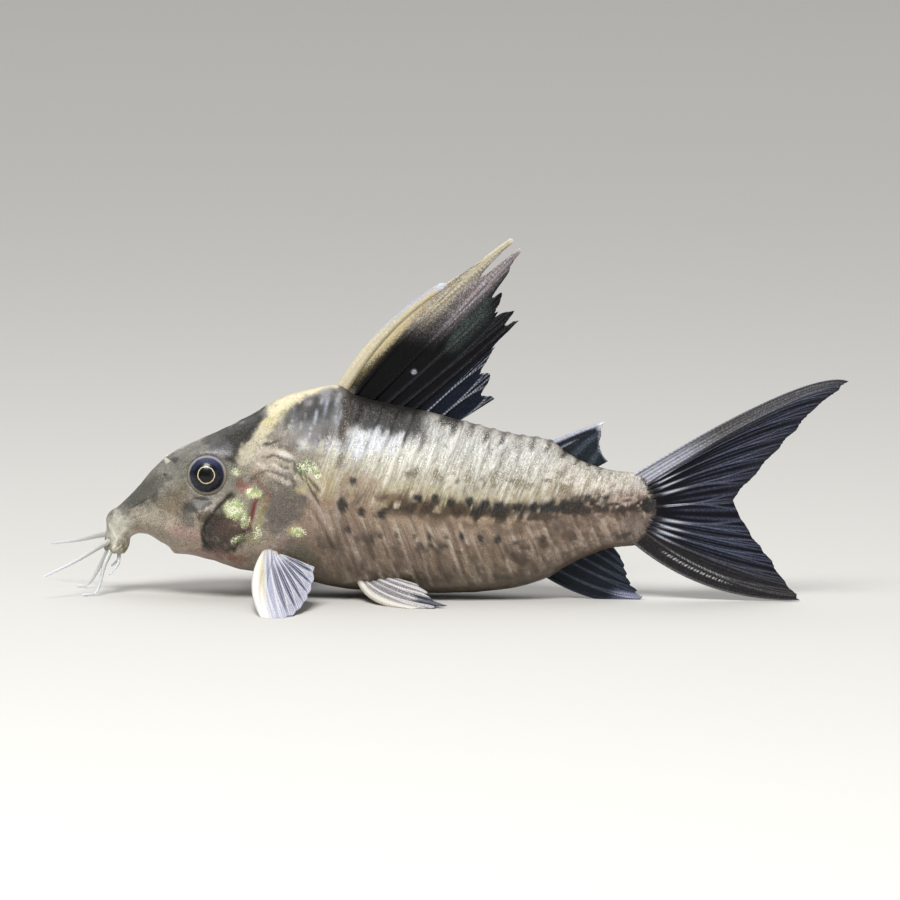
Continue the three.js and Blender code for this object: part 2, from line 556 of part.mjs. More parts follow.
for (const side of [-1, 1]) {
  const pectoral = finSolid(raysFrom(PECTORAL_RAYS, side, 1.3), PECTORAL_NOTCHES, { rows: 8 });
  addNode(`pectoral_fin_${sideName(side)}`, clearOfBody(pectoral), PALE_FIN, [-20, side * 6.4, 5.2]);
  const pelvic = finSolid(raysFrom(PELVIC_RAYS, side, 0.95), PELVIC_NOTCHES, { rows: 8 });
  addNode(`pelvic_fin_${sideName(side)}`, clearOfBody(pelvic), PALE_FIN, [-10, side * 4, 1.8]);
}

export default fish;
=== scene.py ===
"""A long-snouted corydoras catfish resting on its fins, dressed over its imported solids."""

import logging
import math
from dataclasses import dataclass, field
from enum import Enum
from typing import Callable, Sequence

import bmesh
import bpy
import numpy as np
from mathutils import Matrix, Vector


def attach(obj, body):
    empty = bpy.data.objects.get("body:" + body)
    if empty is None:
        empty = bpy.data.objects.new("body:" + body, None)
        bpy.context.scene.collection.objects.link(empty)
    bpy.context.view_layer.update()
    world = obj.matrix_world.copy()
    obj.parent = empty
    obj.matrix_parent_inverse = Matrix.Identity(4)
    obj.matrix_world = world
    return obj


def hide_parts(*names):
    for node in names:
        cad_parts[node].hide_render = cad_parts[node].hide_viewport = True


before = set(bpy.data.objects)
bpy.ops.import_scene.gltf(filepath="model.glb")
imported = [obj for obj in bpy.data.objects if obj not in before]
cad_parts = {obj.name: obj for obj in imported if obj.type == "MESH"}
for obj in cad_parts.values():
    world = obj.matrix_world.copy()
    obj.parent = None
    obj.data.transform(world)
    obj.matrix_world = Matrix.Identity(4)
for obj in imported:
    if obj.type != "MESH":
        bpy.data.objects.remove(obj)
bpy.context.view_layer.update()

MM = 0.001
LOG = logging.getLogger("corydoras")


class Side(Enum):
    """A side of the fish. Its value mirrors a place on the right side to this one."""

    LEFT = -1
    RIGHT = 1

    @property
    def word(self) -> str:
        """The side's name as the pieces and nodes have it."""
        return self.name.lower()


# Numbers and colours


def srgb(code: str) -> tuple[float, float, float]:
    """Turn an sRGB hex value into linear light.

    Args:
        code: Six hex digits.

    Returns:
        Linear red, green and blue.
    """
    channels = [int(code[i : i + 2], 16) / 255 for i in (0, 2, 4)]
    return tuple(c / 12.92 if c <= 0.04045 else ((c + 0.055) / 1.055) ** 2.4 for c in channels)


def ease(low: float, high: float, value: np.ndarray) -> np.ndarray:
    """Rise smoothly from 0 at low to 1 at high."""
    t = np.clip((value - low) / (high - low), 0.0, 1.0)
    return t * t * (3 - 2 * t)


def hill(distance: np.ndarray, width: float) -> np.ndarray:
    """A soft bump of height 1, spent at about one and a half widths."""
    return np.exp(-((distance / width) ** 2))


def cloud(points: np.ndarray, size: float, seed: int) -> np.ndarray:
    """Smooth seeded noise from 0 to 1.

    Args:
        points: Places in millimetres, one row each.
        size: Width of a patch in millimetres.
        seed: Chooses the pattern.

    Returns:
        One value for each place.
    """
    scaled = points / size + seed * 17.31
    cell = np.floor(scaled)
    part = scaled - cell
    part = part * part * (3 - 2 * part)
    total = np.zeros(len(points))
    for corner in range(8):
        step = np.array([(corner >> axis) & 1 for axis in range(3)])
        spot = cell + step
        chance = np.sin(spot @ np.array([127.1, 311.7, 74.7])) * 43758.5453
        share = np.prod(np.where(step == 1, part, 1 - part), axis=1)
        total += share * (chance - np.floor(chance))
    return total


class SmoothCurve:
    """A curve through given values that never overshoots them."""

    def __init__(self, places: Sequence[float], values: Sequence[float]) -> None:
        """Keep the values and work out the slope at each.

        Args:
            places: Where the values stand, rising.
            values: The values.
        """
        self.places = np.array(places, float)
        self.values = np.array(values, float)
        slopes = np.diff(self.values) / np.diff(self.places)
        before, after = slopes[:-1], slopes[1:]
        total = np.where(before + after == 0, 1, before + after)
        inner = np.where(before * after > 0, 2 * before * after / total, 0)
        self.tangents = np.concatenate([slopes[:1], inner, slopes[-1:]])

    def __call__(self, place: np.ndarray) -> np.ndarray:
        """Give the value at each place.

        Args:
            place: Where to read it.

        Returns:
            The values, held past both ends.
        """
        at = np.clip(place, self.places[0], self.places[-1])
        i = np.clip(np.searchsorted(self.places, at, side="right") - 1, 0, len(self.places) - 2)
        span = self.places[i + 1] - self.places[i]
        t = (at - self.places[i]) / span
        stay = (1 + 2 * t) * (1 - t) ** 2
        slopes = self.tangents[i] * t * (1 - t) ** 2 + self.tangents[i + 1] * t * t * (t - 1)
        return self.values[i] * stay + self.values[i + 1] * (1 - stay) + slopes * span


# Meshes


@dataclass
class Cloth:
    """What a sheet of mesh carries: its places in millimetres, its pattern coordinates and masks."""

    places: np.ndarray
    pattern: np.ndarray
    masks: dict[str, np.ndarray] = field(default_factory=dict)


def grid_piece(
    name: str, rows: int, columns: int, lay: Callable[[np.ndarray, np.ndarray], Cloth]
) -> bpy.types.Object:
    """Make a closed form from a grid whose opposite columns meet and whose end rows close.

    Args:
        name: The piece's name.
        rows: Faces along it.
        columns: Faces round it.
        lay: Gives the places, pattern and masks for shares along and round.

    Returns:
        The new piece, in metres.
    """
    bm = bmesh.new()
    bmesh.ops.create_grid(bm, x_segments=rows, y_segments=columns, size=0.5)
    mesh = bpy.data.meshes.new(name)
    bm.to_mesh(mesh)
    bm.free()
    flat = np.empty(len(mesh.vertices) * 3)
    mesh.vertices.foreach_get("co", flat)
    flat = flat.reshape(-1, 3)
    along, around = (np.round((flat[:, i] + 0.5) * count) / count for i, count in enumerate((rows, columns)))
    cloth = lay(along, around)
    mesh.vertices.foreach_set("co", (cloth.places * MM).ravel())
    corner = np.empty(len(mesh.loops), int)
    mesh.loops.foreach_get("vertex_index", corner)
    mesh.uv_layers.new(name="Lie").data.foreach_set("uv", cloth.pattern[corner].ravel())
    for mask, values in cloth.masks.items():
        if values.ndim == 2:
            layer = mesh.attributes.new(mask, "FLOAT_COLOR", "POINT")
            layer.data.foreach_set("color", np.hstack([values, np.ones((len(values), 1))]).ravel())
        else:
            mesh.attributes.new(mask, "FLOAT", "POINT").data.foreach_set("value", values)
    bm = bmesh.new()
    bm.from_mesh(mesh)
    bmesh.ops.remove_doubles(bm, verts=bm.verts, dist=1e-6)
    bmesh.ops.dissolve_degenerate(bm, edges=bm.edges, dist=1e-7)
    return finish_mesh(name, bm, mesh)


def finish_mesh(name: str, bm: bmesh.types.BMesh, mesh: bpy.types.Mesh | None = None) -> bpy.types.Object:
    """Turn a bmesh into a smooth-shaded object with its faces pointing out.

    Args:
        name: The piece's name.
        bm: The finished bmesh, in metres.
        mesh: A mesh to write into, if there is one.

    Returns:
        The new object, linked to the scene.
    """
    bmesh.ops.recalc_face_normals(bm, faces=bm.faces)
    mesh = mesh or bpy.data.meshes.new(name)
    bm.to_mesh(mesh)
    bm.free()
    mesh.shade_smooth()
    piece = bpy.data.objects.new(name, mesh)
    bpy.context.scene.collection.objects.link(piece)
    return piece


# Shape of the body, in millimetres


@dataclass(frozen=True)
class Rib:
    """An oval rib between a top and a bottom point, with its half width and the powers of its arches."""

    station: float
    top: tuple[float, float]
    bottom: tuple[float, float]
    half: float
    mid: float = 0.5
    upper: float = 2.0
    lower: float = 2.0


RIBS = [
    Rib(-42.4, (-37.1, 5.9), (-36.3, 5.9), 0.45),
    Rib(-41.2, (-37.3, 4.85), (-36.05, 4.75), 1.05),
    Rib(-40.8, (-37.5, 4.6), (-35.85, 4.5), 1.6),
    Rib(-40.2, (-37.9, 5.0), (-35.45, 5.0), 2.15),
    Rib(-39.4, (-37.85, 5.5), (-35.3, 5.5), 2.05),
    Rib(-38.6, (-37.8, 6.9), (-35.1, 6.15), 2.15),
    Rib(-37.4, (-37.75, 8.2), (-34.65, 6.5), 2.35, 0.48),
    Rib(-36.4, (-37.3, 9.1), (-34.0, 6.7), 2.55, 0.46),
    Rib(-35.4, (-36.5, 9.6), (-33.3, 6.65), 2.8, 0.44, 1.9, 2.1),
    Rib(-34.2, (-35.4, 10.65), (-32.4, 6.25), 3.15, 0.42, 1.9, 2.2),
    Rib(-32.8, (-34.1, 12.1), (-31.5, 5.7), 3.6, 0.4, 1.85, 2.3),
    Rib(-31.8, (-32.8, 13.7), (-30.8, 5.3), 4.05, 0.38, 1.85, 2.3),
    Rib(-30.7, (-31.5, 15.0), (-30.0, 4.5), 4.55, 0.37, 1.8, 2.3),
    Rib(-29.4, (-30.1, 16.0), (-28.8, 4.45), 5.05, 0.36, 1.8, 2.4),
    Rib(-26.3, (-26.5, 17.7), (-26.1, 3.9), 6.1, 0.37, 1.8, 2.4),
    Rib(-22.7, (-22.3, 19.8), (-23.2, 3.0), 6.95, 0.38, 1.8, 2.4),
    Rib(-20.6, (-19.8, 21.3), (-21.5, 2.7), 7.3, 0.4, 1.8, 2.4),
    Rib(-18.4, (-17.6, 22.35), (-19.3, 2.35), 7.55, 0.42, 1.8, 2.4),
    Rib(-15.6, (-15.2, 23.0), (-16.1, 1.9), 7.65, 0.44, 1.8, 2.4),
    Rib(-12.2, (-12.1, 23.55), (-12.3, 1.05), 7.5, 0.45, 1.75, 2.4),
    Rib(-10.3, (-10.3, 22.5), (-10.3, 0.8), 7.35, 0.45, 1.8, 2.4),
    Rib(-1.9, (-1.9, 20.65), (-1.9, 0.5), 6.65, 0.45, 1.85, 2.4),
    Rib(2.6, (2.6, 19.5), (2.6, 0.6), 6.0, 0.45, 1.85, 2.3),
    Rib(7.0, (7.0, 18.4), (7.0, 1.05), 5.15, 0.46, 1.9, 2.2),
    Rib(11.5, (11.5, 17.65), (11.5, 2.35), 4.15, 0.48, 1.9, 2.1),
    Rib(13.4, (13.4, 16.3), (13.4, 3.6), 3.65, 0.49),
    Rib(15.9, (15.9, 15.1), (15.9, 4.85), 3.05),
    Rib(18.7, (18.7, 14.35), (18.7, 5.8), 2.45),
    Rib(21.0, (21.0, 14.15), (21.0, 6.05), 1.95),
    Rib(23.2, (22.9, 13.5), (22.9, 7.0), 1.35, 0.5, 2.2, 2.2),
    Rib(24.2, (24.4, 11.7), (24.4, 8.8), 0.8, 0.5, 2.2, 2.2),
]


class BodyPlan:
    """The bare surface of the body as a function of its station and the angle round it."""

    def __init__(self, ribs: Sequence[Rib]) -> None:
        """Lay smooth curves through the ribs.

        Args:
            ribs: The ribs from the mouth to the tail.
        """
        stations = [rib.station for rib in ribs]
        self.top_x = SmoothCurve(stations, [rib.top[0] for rib in ribs])
        self.top_z = SmoothCurve(stations, [rib.top[1] for rib in ribs])
        self.bottom_x = SmoothCurve(stations, [rib.bottom[0] for rib in ribs])
        self.bottom_z = SmoothCurve(stations, [rib.bottom[1] for rib in ribs])
        self.half = SmoothCurve(stations, [rib.half for rib in ribs])
        self.mid = SmoothCurve(stations, [rib.mid for rib in ribs])
        self.upper = SmoothCurve(stations, [rib.upper for rib in ribs])
        self.lower = SmoothCurve(stations, [rib.lower for rib in ribs])

    def point(self, station: np.ndarray, angle: np.ndarray) -> np.ndarray:
        """Give the surface point, where angle 0 is the right flank and a quarter turn the back.

        Args:
            station: Where along the body, in millimetres.
            angle: The angle round it, in radians.

        Returns:
            One place (x, y, z) for each point.
        """
        side, rise = np.cos(angle), np.sin(angle)
        power = np.where(rise >= 0, self.upper(station), self.lower(station))
        lift = np.abs(rise) ** (2 / power)
        mid = self.mid(station)
        share = np.where(rise >= 0, mid + (1 - mid) * lift, mid * (1 - lift))
        low_x, low_z = self.bottom_x(station), self.bottom_z(station)
        return np.stack(
            [
                low_x + (self.top_x(station) - low_x) * share,
                self.half(station) * np.sign(side) * np.abs(side) ** (2 / power),
                low_z + (self.top_z(station) - low_z) * share,
            ],
            axis=1,
        )

    def normal(self, station: np.ndarray, angle: np.ndarray) -> np.ndarray:
        """Give the outward direction at each point.

        Args:
            station: Where along the body, in millimetres.
            angle: The angle round it, in radians.

        Returns:
            One unit vector for each point.
        """
        step = 0.02
        along = self.point(station + step, angle) - self.point(station - step, angle)
        around = self.point(station, angle + step) - self.point(station, angle - step)
        across = np.cross(around, along)
        return across / np.maximum(np.linalg.norm(across, axis=1, keepdims=True), 1e-9)


# Markings


@dataclass(frozen=True)
class Spot:
    """A ragged oval patch on the flank: its middle (x, z), half sizes, colour and strength."""

    middle: tuple[float, float]
    size: tuple[float, float]
    colour: str
    strength: float
    turn: float = 0.0

    def mask(self, places: np.ndarray, rough: np.ndarray) -> np.ndarray:
        """Give how much of the colour each place takes.

        Args:
            places: Places in millimetres, one row each.
            rough: How far the edge strays at each place.

        Returns:
            Shares from 0 to the strength.
        """
        turn = math.radians(self.turn)
        x, z = places[:, 0] - self.middle[0], places[:, 2] - self.middle[1]
        along = (x * math.cos(turn) + z * math.sin(turn)) / self.size[0]
        across = (z * math.cos(turn) - x * math.sin(turn)) / self.size[1]
        reach = np.hypot(along, across) + rough
        return self.strength * (1 - ease(0.7, 1.45, reach))


@dataclass(frozen=True)
class Streak:
    """A soft line on the flank through points (x, z), with its width, colour and strength."""

    points: Sequence[tuple[float, float]]
    width: float
    colour: str
    strength: float

    def mask(self, places: np.ndarray, rough: np.ndarray) -> np.ndarray:
        """Give how much of the colour each place takes."""
        near = line_distance(places, self.points)
        return self.strength * (1 - ease(0.35, 1.1, near / self.width + 0.5 * rough))


def tail_root(places: np.ndarray) -> np.ndarray:
    """Measure how far each place lies past the curved line where the tail fin's rays begin, less 3 mm."""
    return places[:, 0] - 20.6 + 0.11 * (places[:, 2] - 10.3) ** 2


def line_distance(places: np.ndarray, points: Sequence[tuple[float, float]]) -> np.ndarray:
    """Measure how far each place is from a run of points (x, z), seen from the side.

    Args:
        places: Places in millimetres, one row each.
        points: The run's points in order.

    Returns:
        Distances in millimetres.
    """
    flat = places[:, [0, 2]]
    near = np.full(len(places), np.inf)
    for start, end in zip(points[:-1], points[1:]):
        a, run = np.array(start), np.subtract(end, start)
        share = np.clip(((flat - a) @ run) / (run @ run), 0, 1)
        near = np.minimum(near, np.linalg.norm(flat - a - share[:, None] * run, axis=1))
    return near


HEAD = [
    Spot((-29.8, 11.2), (1.7, 1.6), "877358", 0.65),
    Spot((-31.0, 13.2), (1.6, 1.2), "a7a498", 0.5),
    Spot((-30.0, 9.3), (2.6, 1.2), "a08f78", 0.5),
    Spot((-28.4, 7.2), (2.2, 0.8), "c49a94", 0.55, turn=-15),
    Spot((-36.5, 7.0), (1.3, 2.4), "cbc8b8", 0.8),
    Spot((-35.4, 8.2), (0.7, 0.7), "b4af9b", 0.45),
    Spot((-36.3, 5.2), (0.9, 0.7), "a09a83", 0.5),
    Spot((-33.6, 11.4), (3.2, 1.0), "5f6058", 0.6, turn=40),
    Spot((-32.4, 8.9), (2.4, 0.8), "c3b8a4", 0.5, turn=-12),
    Spot((-21.5, 19.8), (1.2, 1.5), "35342f", 0.92, turn=40),
    Spot((-23.0, 17.9), (1.9, 1.5), "35342f", 0.92, turn=30),
    Spot((-24.9, 17.5), (1.7, 1.0), "3c3b36", 0.85, turn=28),
    Spot((-23.6, 16.2), (1.0, 0.9), "3a3833", 0.85),
    Spot((-25.4, 16.3), (1.7, 0.6), "8c8496", 0.5, turn=10),
    Spot((-24.4, 7.4), (2.3, 2.3), "5c443c", 0.9),
    Spot((-23.9, 8.6), (1.7, 1.5), "7a5248", 0.55),
    Spot((-27.6, 10.4), (1.4, 0.7), "4d4a42", 0.85, turn=20),
    Spot((-26.6, 9.3), (1.0, 0.6), "6b5540", 0.7, turn=30),
    Spot((-28.6, 9.0), (0.8, 0.9), "6f6e70", 0.55),
    Spot((-25.8, 4.9), (1.8, 0.6), "b98a80", 0.6, turn=-5),
    Spot((-23.0, 4.5), (1.2, 0.6), "b06a58", 0.6),
    Spot((-22.4, 12.7), (1.0, 0.7), "b06a5c", 0.65, turn=-20),
    Spot((-18.1, 11.3), (2.1, 3.6), "77716b", 0.8),
    Spot((-20.0, 15.9), (2.4, 1.9), "bfb09c", 0.8),
    Spot((-18.8, 18.6), (1.5, 1.0), "988a76", 0.6),
    Spot((-21.1, 14.2), (1.2, 0.7), "a58d79", 0.6),
    Spot((-30.2, 15.2), (0.4, 0.22), "4c4b52", 0.7, turn=20),
    Spot((-31.3, 13.5), (0.18, 0.13), "33322e", 0.8),
]
ABOVE_PECTORAL = [
    Spot((-18.2, 4.7), (1.3, 0.8), "a06a38", 0.85),
    Spot((-18.9, 5.0), (0.5, 0.55), "b8a052", 0.8),
    Spot((-19.7, 4.5), (0.28, 0.35), "8c2f2f", 0.9),
    Spot((-16.2, 5.3), (1.7, 1.1), "868a76", 0.7),
]
GLEAM = [
    Spot((-23.3, 14.2), (0.45, 0.35), "bdbb8c", 0.8),
    Spot((-23.3, 10.3), (0.95, 0.9), "bcc58c", 0.9),
    Spot((-22.2, 9.1), (0.5, 0.8), "aebf86", 0.8),
    Spot((-21.3, 12.1), (0.75, 0.5), "cdca90", 0.9),
    Spot((-16.3, 7.9), (0.75, 0.5), "c8c96c", 0.9),
    Spot((-20.8, 7.5), (0.4, 0.9), "aaa97a", 0.7),
    Spot((-23.0, 6.9), (0.9, 0.35), "8f9a70", 0.6, turn=30),
    Spot((-15.4, 15.1), (0.9, 0.7), "7f9070", 0.55),
    Spot((-14.3, 14.2), (0.4, 0.5), "9aa86c", 0.6),
]
SHOULDER = [
    Spot((-15.9, 20.2), (2.4, 1.6), "4a4744", 0.6),
    Spot((-13.1, 20.7), (1.8, 1.8), "34353a", 0.78),
    Spot((-13.0, 18.9), (1.6, 0.8), "5c4434", 0.7),
    Spot((-15.2, 18.3), (1.2, 0.7), "5a4a3c", 0.6),
    Spot((-17.9, 17.7), (1.4, 0.9), "7d6a58", 0.6),
    Spot((-15.7, 15.9), (1.6, 1.0), "84705c", 0.55),
    Spot((-8.6, 21.5), (2.0, 1.25), "232327", 0.88),
    Spot((-5.4, 21.3), (1.8, 1.4), "2a2a2e", 0.88),
    Spot((-5.7, 19.8), (1.0, 0.7), "38363a", 0.75),
    Spot((-9.0, 19.5), (0.6, 0.5), "4e4a4c", 0.65),
    Spot((-11.2, 21.8), (0.9, 0.9), "4c3f38", 0.7),
    Spot((0.3, 19.7), (1.3, 0.5), "4a443f", 0.78, turn=-15),
]
UPPER_FLANK = [
    Spot((-8.6, 17.8), (3.4, 1.2), "c6cbd6", 0.6),
    Spot((-3.4, 14.8), (0.45, 0.5), "8f8566", 0.6),
    Spot((-1.4, 14.4), (0.45, 0.5), "958a68", 0.5),
    Spot((2.1, 14.0), (0.45, 0.5), "8f8566", 0.6),
    Spot((5.0, 14.0), (0.5, 0.5), "8f8566", 0.6),
    Spot((8.1, 13.4), (0.5, 0.5), "958a68", 0.5),
    Spot((12.6, 13.0), (0.5, 0.5), "958a60", 0.6),
]
STRIPE = [
    Spot((-9.2, 12.5), (2.2, 1.5), "a98f7c", 0.5),
    Spot((-5.7, 11.6), (1.7, 0.7), "85664e", 0.6),
    Spot((-3.0, 10.6), (1.2, 0.8), "6b4f37", 0.7),
    Spot((1.0, 10.4), (1.4, 0.6), "604529", 0.78),
    Spot((5.7, 10.1), (1.6, 0.6), "523c25", 0.8),
    Spot((10.3, 9.7), (1.6, 0.5), "5a4530", 0.78),
    Spot((13.2, 10.6), (1.0, 0.5), "5f4630", 0.7),
]
STRIPE_DOTS = [
    Spot((-10.3, 13.6), (0.3, 0.35), "2c2e33", 0.8),
    Spot((-11.4, 10.9), (0.45, 0.6), "2b2b2e", 0.85),
    Spot((-9.4, 10.2), (0.4, 0.4), "26272b", 0.85),
    Spot((-7.3, 10.0), (0.5, 0.4), "26272b", 0.85),
    Spot((-3.2, 11.8), (0.45, 0.45), "22242a", 0.92),
    Spot((-1.2, 11.7), (0.4, 0.45), "22242a", 0.92),
    Spot((0.6, 11.3), (0.45, 0.4), "2b2724", 0.85),
    Spot((2.6, 11.3), (0.35, 0.4), "22242a", 0.9),
    Spot((4.3, 11.1), (0.5, 0.5), "22242a", 0.92),
    Spot((6.0, 10.9), (0.85, 0.6), "1d1f24", 0.94),
    Spot((7.9, 10.7), (0.5, 0.35), "26282e", 0.88),
    Spot((9.5, 10.7), (0.65, 0.5), "202227", 0.92),
    Spot((11.3, 10.7), (0.5, 0.35), "2a2c32", 0.85),
    Spot((13.1, 10.8), (0.55, 0.4), "2a2c32", 0.85),
    Spot((14.7, 10.8), (0.6, 0.4), "303238", 0.85),
    Spot((11.7, 10.4), (0.9, 0.42), "3b3d42", 0.8),
    Spot((13.2, 10.3), (0.5, 0.35), "3f3a38", 0.75),
    Spot((15.0, 10.2), (1.1, 0.5), "4c3226", 0.85),
    Spot((17.0, 10.4), (0.8, 0.32), "574238", 0.7),
    Spot((19.4, 10.2), (1.0, 0.5), "5a3a33", 0.8),
    Spot((21.0, 10.4), (0.6, 0.3), "5c4038", 0.7),
    Spot((22.4, 10.6), (0.7, 0.75), "251d1c", 0.92),
]
LOWER_FLANK = [
    Spot((3.7, 6.0), (2.6, 1.2), "937a60", 0.4),
    Spot((8.1, 4.9), (0.8, 0.6), "6b543f", 0.6),
    Spot((11.0, 6.5), (0.6, 0.5), "6f5238", 0.6),
    Spot((-12.3, 2.8), (0.35, 0.3), "b38d3e", 0.85),
    Spot((12.8, 12.4), (0.8, 0.6), "8c7450", 0.5),
    Spot((13.7, 7.3), (0.9, 0.6), "6d5038", 0.6),
    Spot((10.8, 6.4), (0.7, 0.5), "7a5a3e", 0.5),
    Spot((20.3, 11.8), (1.8, 1.0), "b8998f", 0.5),
    Spot((21.0, 8.1), (1.4, 1.0), "a3948c", 0.5),
    Spot((21.7, 13.6), (1.3, 1.0), "cfc6bd", 0.6),
    Spot((19.7, 7.2), (0.9, 0.3), "4f4038", 0.6, turn=20),
]
LOWER_DOTS = [
    Spot((-10.8, 8.2), (0.3, 0.3), "3e3b3d", 0.7),
    Spot((-7.2, 7.6), (0.28, 0.35), "3e3b3d", 0.6),
    Spot((-5.4, 7.6), (0.25, 0.35), "3e3b3d", 0.65),
    Spot((-3.4, 7.6), (0.28, 0.35), "3e3b3d", 0.65),
    Spot((-1.7, 7.5), (0.3, 0.3), "38373b", 0.75),
    Spot((0.1, 7.4), (0.3, 0.3), "38373b", 0.75),
    Spot((1.9, 7.5), (0.42, 0.35), "2e2f34", 0.85),
    Spot((3.9, 7.3), (0.35, 0.32), "38373b", 0.75),
    Spot((5.7, 7.1), (0.45, 0.4), "33343c", 0.8),
    Spot((7.7, 6.7), (0.35, 0.3), "4a423c", 0.65),
    Spot((10.8, 7.2), (0.45, 0.4), "4c3c30", 0.7),
]
HEAD_LINES = [
    Streak([(-15.6, 23.4), (-18.0, 21.5), (-19.7, 19.7), (-20.6, 18.4)], 0.85, "dccf9c", 0.85),
    Streak([(-20.4, 18.6), (-21.3, 17.2), (-22.4, 15.7)], 0.95, "c9c0a6", 0.75),
    Streak([(-21.0, 11.4), (-21.4, 9.9), (-21.9, 8.4)], 0.36, "9e403b", 0.85),
    Streak([(-20.0, 11.4), (-20.5, 9.6), (-21.0, 7.5), (-21.7, 6.6)], 0.5, "a9a16c", 0.7),
    Streak([(-20.8, 13.5), (-19.6, 12.2), (-20.0, 10.5)], 0.38, "a66a54", 0.5),
    # Painted shade: a dark line in the crease along the gill cover's front edge, then a wider soft shade beside
    # it
    Streak([(-23.8, 11.8), (-25.4, 10.2), (-26.6, 8.5), (-27.0, 7.2), (-26.6, 5.9)], 0.24, "2e2420", 0.92),
    Streak([(-23.9, 11.4), (-25.0, 10.0), (-26.1, 8.4), (-26.5, 7.2), (-26.1, 5.9)], 0.8, "3b302b", 0.55),
    Streak([(-22.1, 5.4), (-20.0, 6.0), (-18.4, 7.0), (-16.7, 8.5)], 0.75, "b8a498", 0.6),
    # Painted highlights: two pale lines that meet in a Y on the lips
    Streak([(-37.3, 7.7), (-36.6, 6.3), (-36.9, 5.0)], 0.24, "dcd8ca", 0.75),
    Streak([(-35.5, 7.5), (-36.0, 6.9), (-36.6, 6.3)], 0.2, "dcd8ca", 0.65),
    Streak([(-36.0, 6.0), (-35.6, 4.7)], 0.2, "85795c", 0.5),
    Streak([(-37.4, 6.3), (-37.2, 4.9)], 0.18, "8f8468", 0.45),
    Streak([(-35.0, 9.7), (-33.7, 10.5), (-32.4, 11.2)], 0.12, "3f3d36", 0.5),
    Streak([(-21.3, 15.7), (-19.2, 14.0), (-17.3, 13.2)], 0.3, "d0c4b6", 0.6),
    Streak([(-20.6, 16.9), (-18.0, 16.6), (-15.6, 15.0), (-13.6, 12.9)], 0.32, "cfc3b4", 0.6),
    Streak([(-17.4, 16.0), (-15.2, 13.8), (-13.9, 12.4)], 0.2, "3f362f", 0.65),
    Streak([(-21.6, 13.6), (-19.9, 14.6), (-18.2, 14.2)], 0.22, "4f4238", 0.6),
    Streak([(-20.2, 17.3), (-18.2, 17.8), (-16.3, 17.2)], 0.17, "3b2f26", 0.85),
    Streak([(-20.4, 15.9), (-18.9, 16.2), (-16.7, 15.4)], 0.2, "4a3a2c", 0.75),
    Streak([(-18.4, 15.0), (-16.5, 14.6)], 0.16, "3f3328", 0.65),
    Streak([(-17.2, 14.8), (-15.9, 13.0), (-14.3, 11.1), (-12.8, 8.2)], 0.28, "b3a79c", 0.75),
    Streak([(-16.8, 15.0), (-15.4, 13.3), (-14.1, 11.3)], 0.16, "3a332e", 0.7),
]
RIDGE_LINES = [
    Streak([(-19.4, 20.9), (-18.6, 21.5), (-15.9, 23.0), (-12.7, 23.9)], 0.85, "e0d2ae", 0.92),
    Streak([(-11.1, 21.4), (-11.3, 18.5), (-11.8, 15.1)], 0.42, "6f5a48", 0.55),
    Streak([(-11.7, 15.1), (-12.1, 12.0), (-11.9, 8.9)], 0.35, "b5a79b", 0.5),
    Streak([(-11.2, 1.9), (-9.0, 2.6)], 0.25, "b5a89c", 0.5),
]
SHOULDER_LINES = [
    Streak([(-14.0, 22.0), (-15.0, 19.1)], 0.14, "b4bac8", 0.75),
    Streak([(-13.3, 22.1), (-13.6, 20.0)], 0.14, "a4abc0", 0.7),
    Streak([(-17.2, 19.9), (-17.9, 18.4)], 0.13, "b9b5ac", 0.6),
    Streak([(-15.0, 18.8), (-16.3, 16.8)], 0.16, "aab4c8", 0.7),
    Streak([(-14.0, 18.4), (-15.2, 16.8)], 0.14, "9fa9c0", 0.6),
    Streak([(-15.7, 20.6), (-16.4, 18.8)], 0.13, "9d9c9c", 0.6),
    Streak([(-12.1, 21.6), (-12.3, 19.3)], 0.12, "8f94a4", 0.6),
    Streak([(-13.0, 18.4), (-13.3, 16.9)], 0.14, "b4b8c4", 0.6),
    Streak([(-9.7, 18.5), (-10.0, 16.0)], 0.16, "d2d6e0", 0.6),
    Streak([(-8.1, 18.9), (-8.8, 16.5)], 0.16, "ccd0da", 0.5),
]


# The skin


@dataclass
class Eye:
    """Where the right eye sits and looks; the left one mirrors it. Millimetres."""

    centre: tuple[float, float, float] = (-26.4, 3.35, 13.62)
    radius: float = 2.5
    open_radius: float = 2.24
    gaze: tuple[float, float, float] = (-0.07, 0.99, 0.11)

    def build(self, side: Side) -> bpy.types.Object:
        """Make an eyeball with its pattern laid by the distance from the line of its gaze.

        Args:
            side: The side that it is on.

        Returns:
            The eyeball.
        """
        gaze = Vector((self.gaze[0], self.gaze[1] * side.value, self.gaze[2])).normalized()
        centre = Vector((self.centre[0], self.centre[1] * side.value, self.centre[2]))
        bm = bmesh.new()
        bmesh.ops.create_uvsphere(bm, u_segments=96, v_segments=64, radius=self.radius)
        turn = Vector((0, 0, 1)).rotation_difference(gaze).to_matrix()
        ring = bm.verts.layers.float.new("ring")
        up = bm.verts.layers.float.new("up")
        for vert in bm.verts:
            vert[ring] = vert.co.to_2d().length if vert.co.z > 0 else self.radius
            vert.co = turn @ vert.co
            vert[up] = vert.co.z / self.radius
            vert.co = (vert.co + centre) * MM
        return finish_mesh(f"eyeball_{side.word}", bm)


@dataclass
class Armour:
    """The two rows of bony plates on each flank. Millimetres."""

    stations: tuple[float, ...] = (-15.0, 10.9, 14.3, 17.3, 19.9, 22.4)
    counts: tuple[int, ...] = (0, 14, 16, 18, 20, 22)
    rise: float = 0.13
    edge: float = 0.9
    slant: float = 0.36
    back: float = math.radians(84)
    belly: float = math.radians(-64)

    def steps(self, ring: np.ndarray) -> np.ndarray:
        """Count the plates passed at each station."""
        return np.interp(ring, self.stations, self.counts)


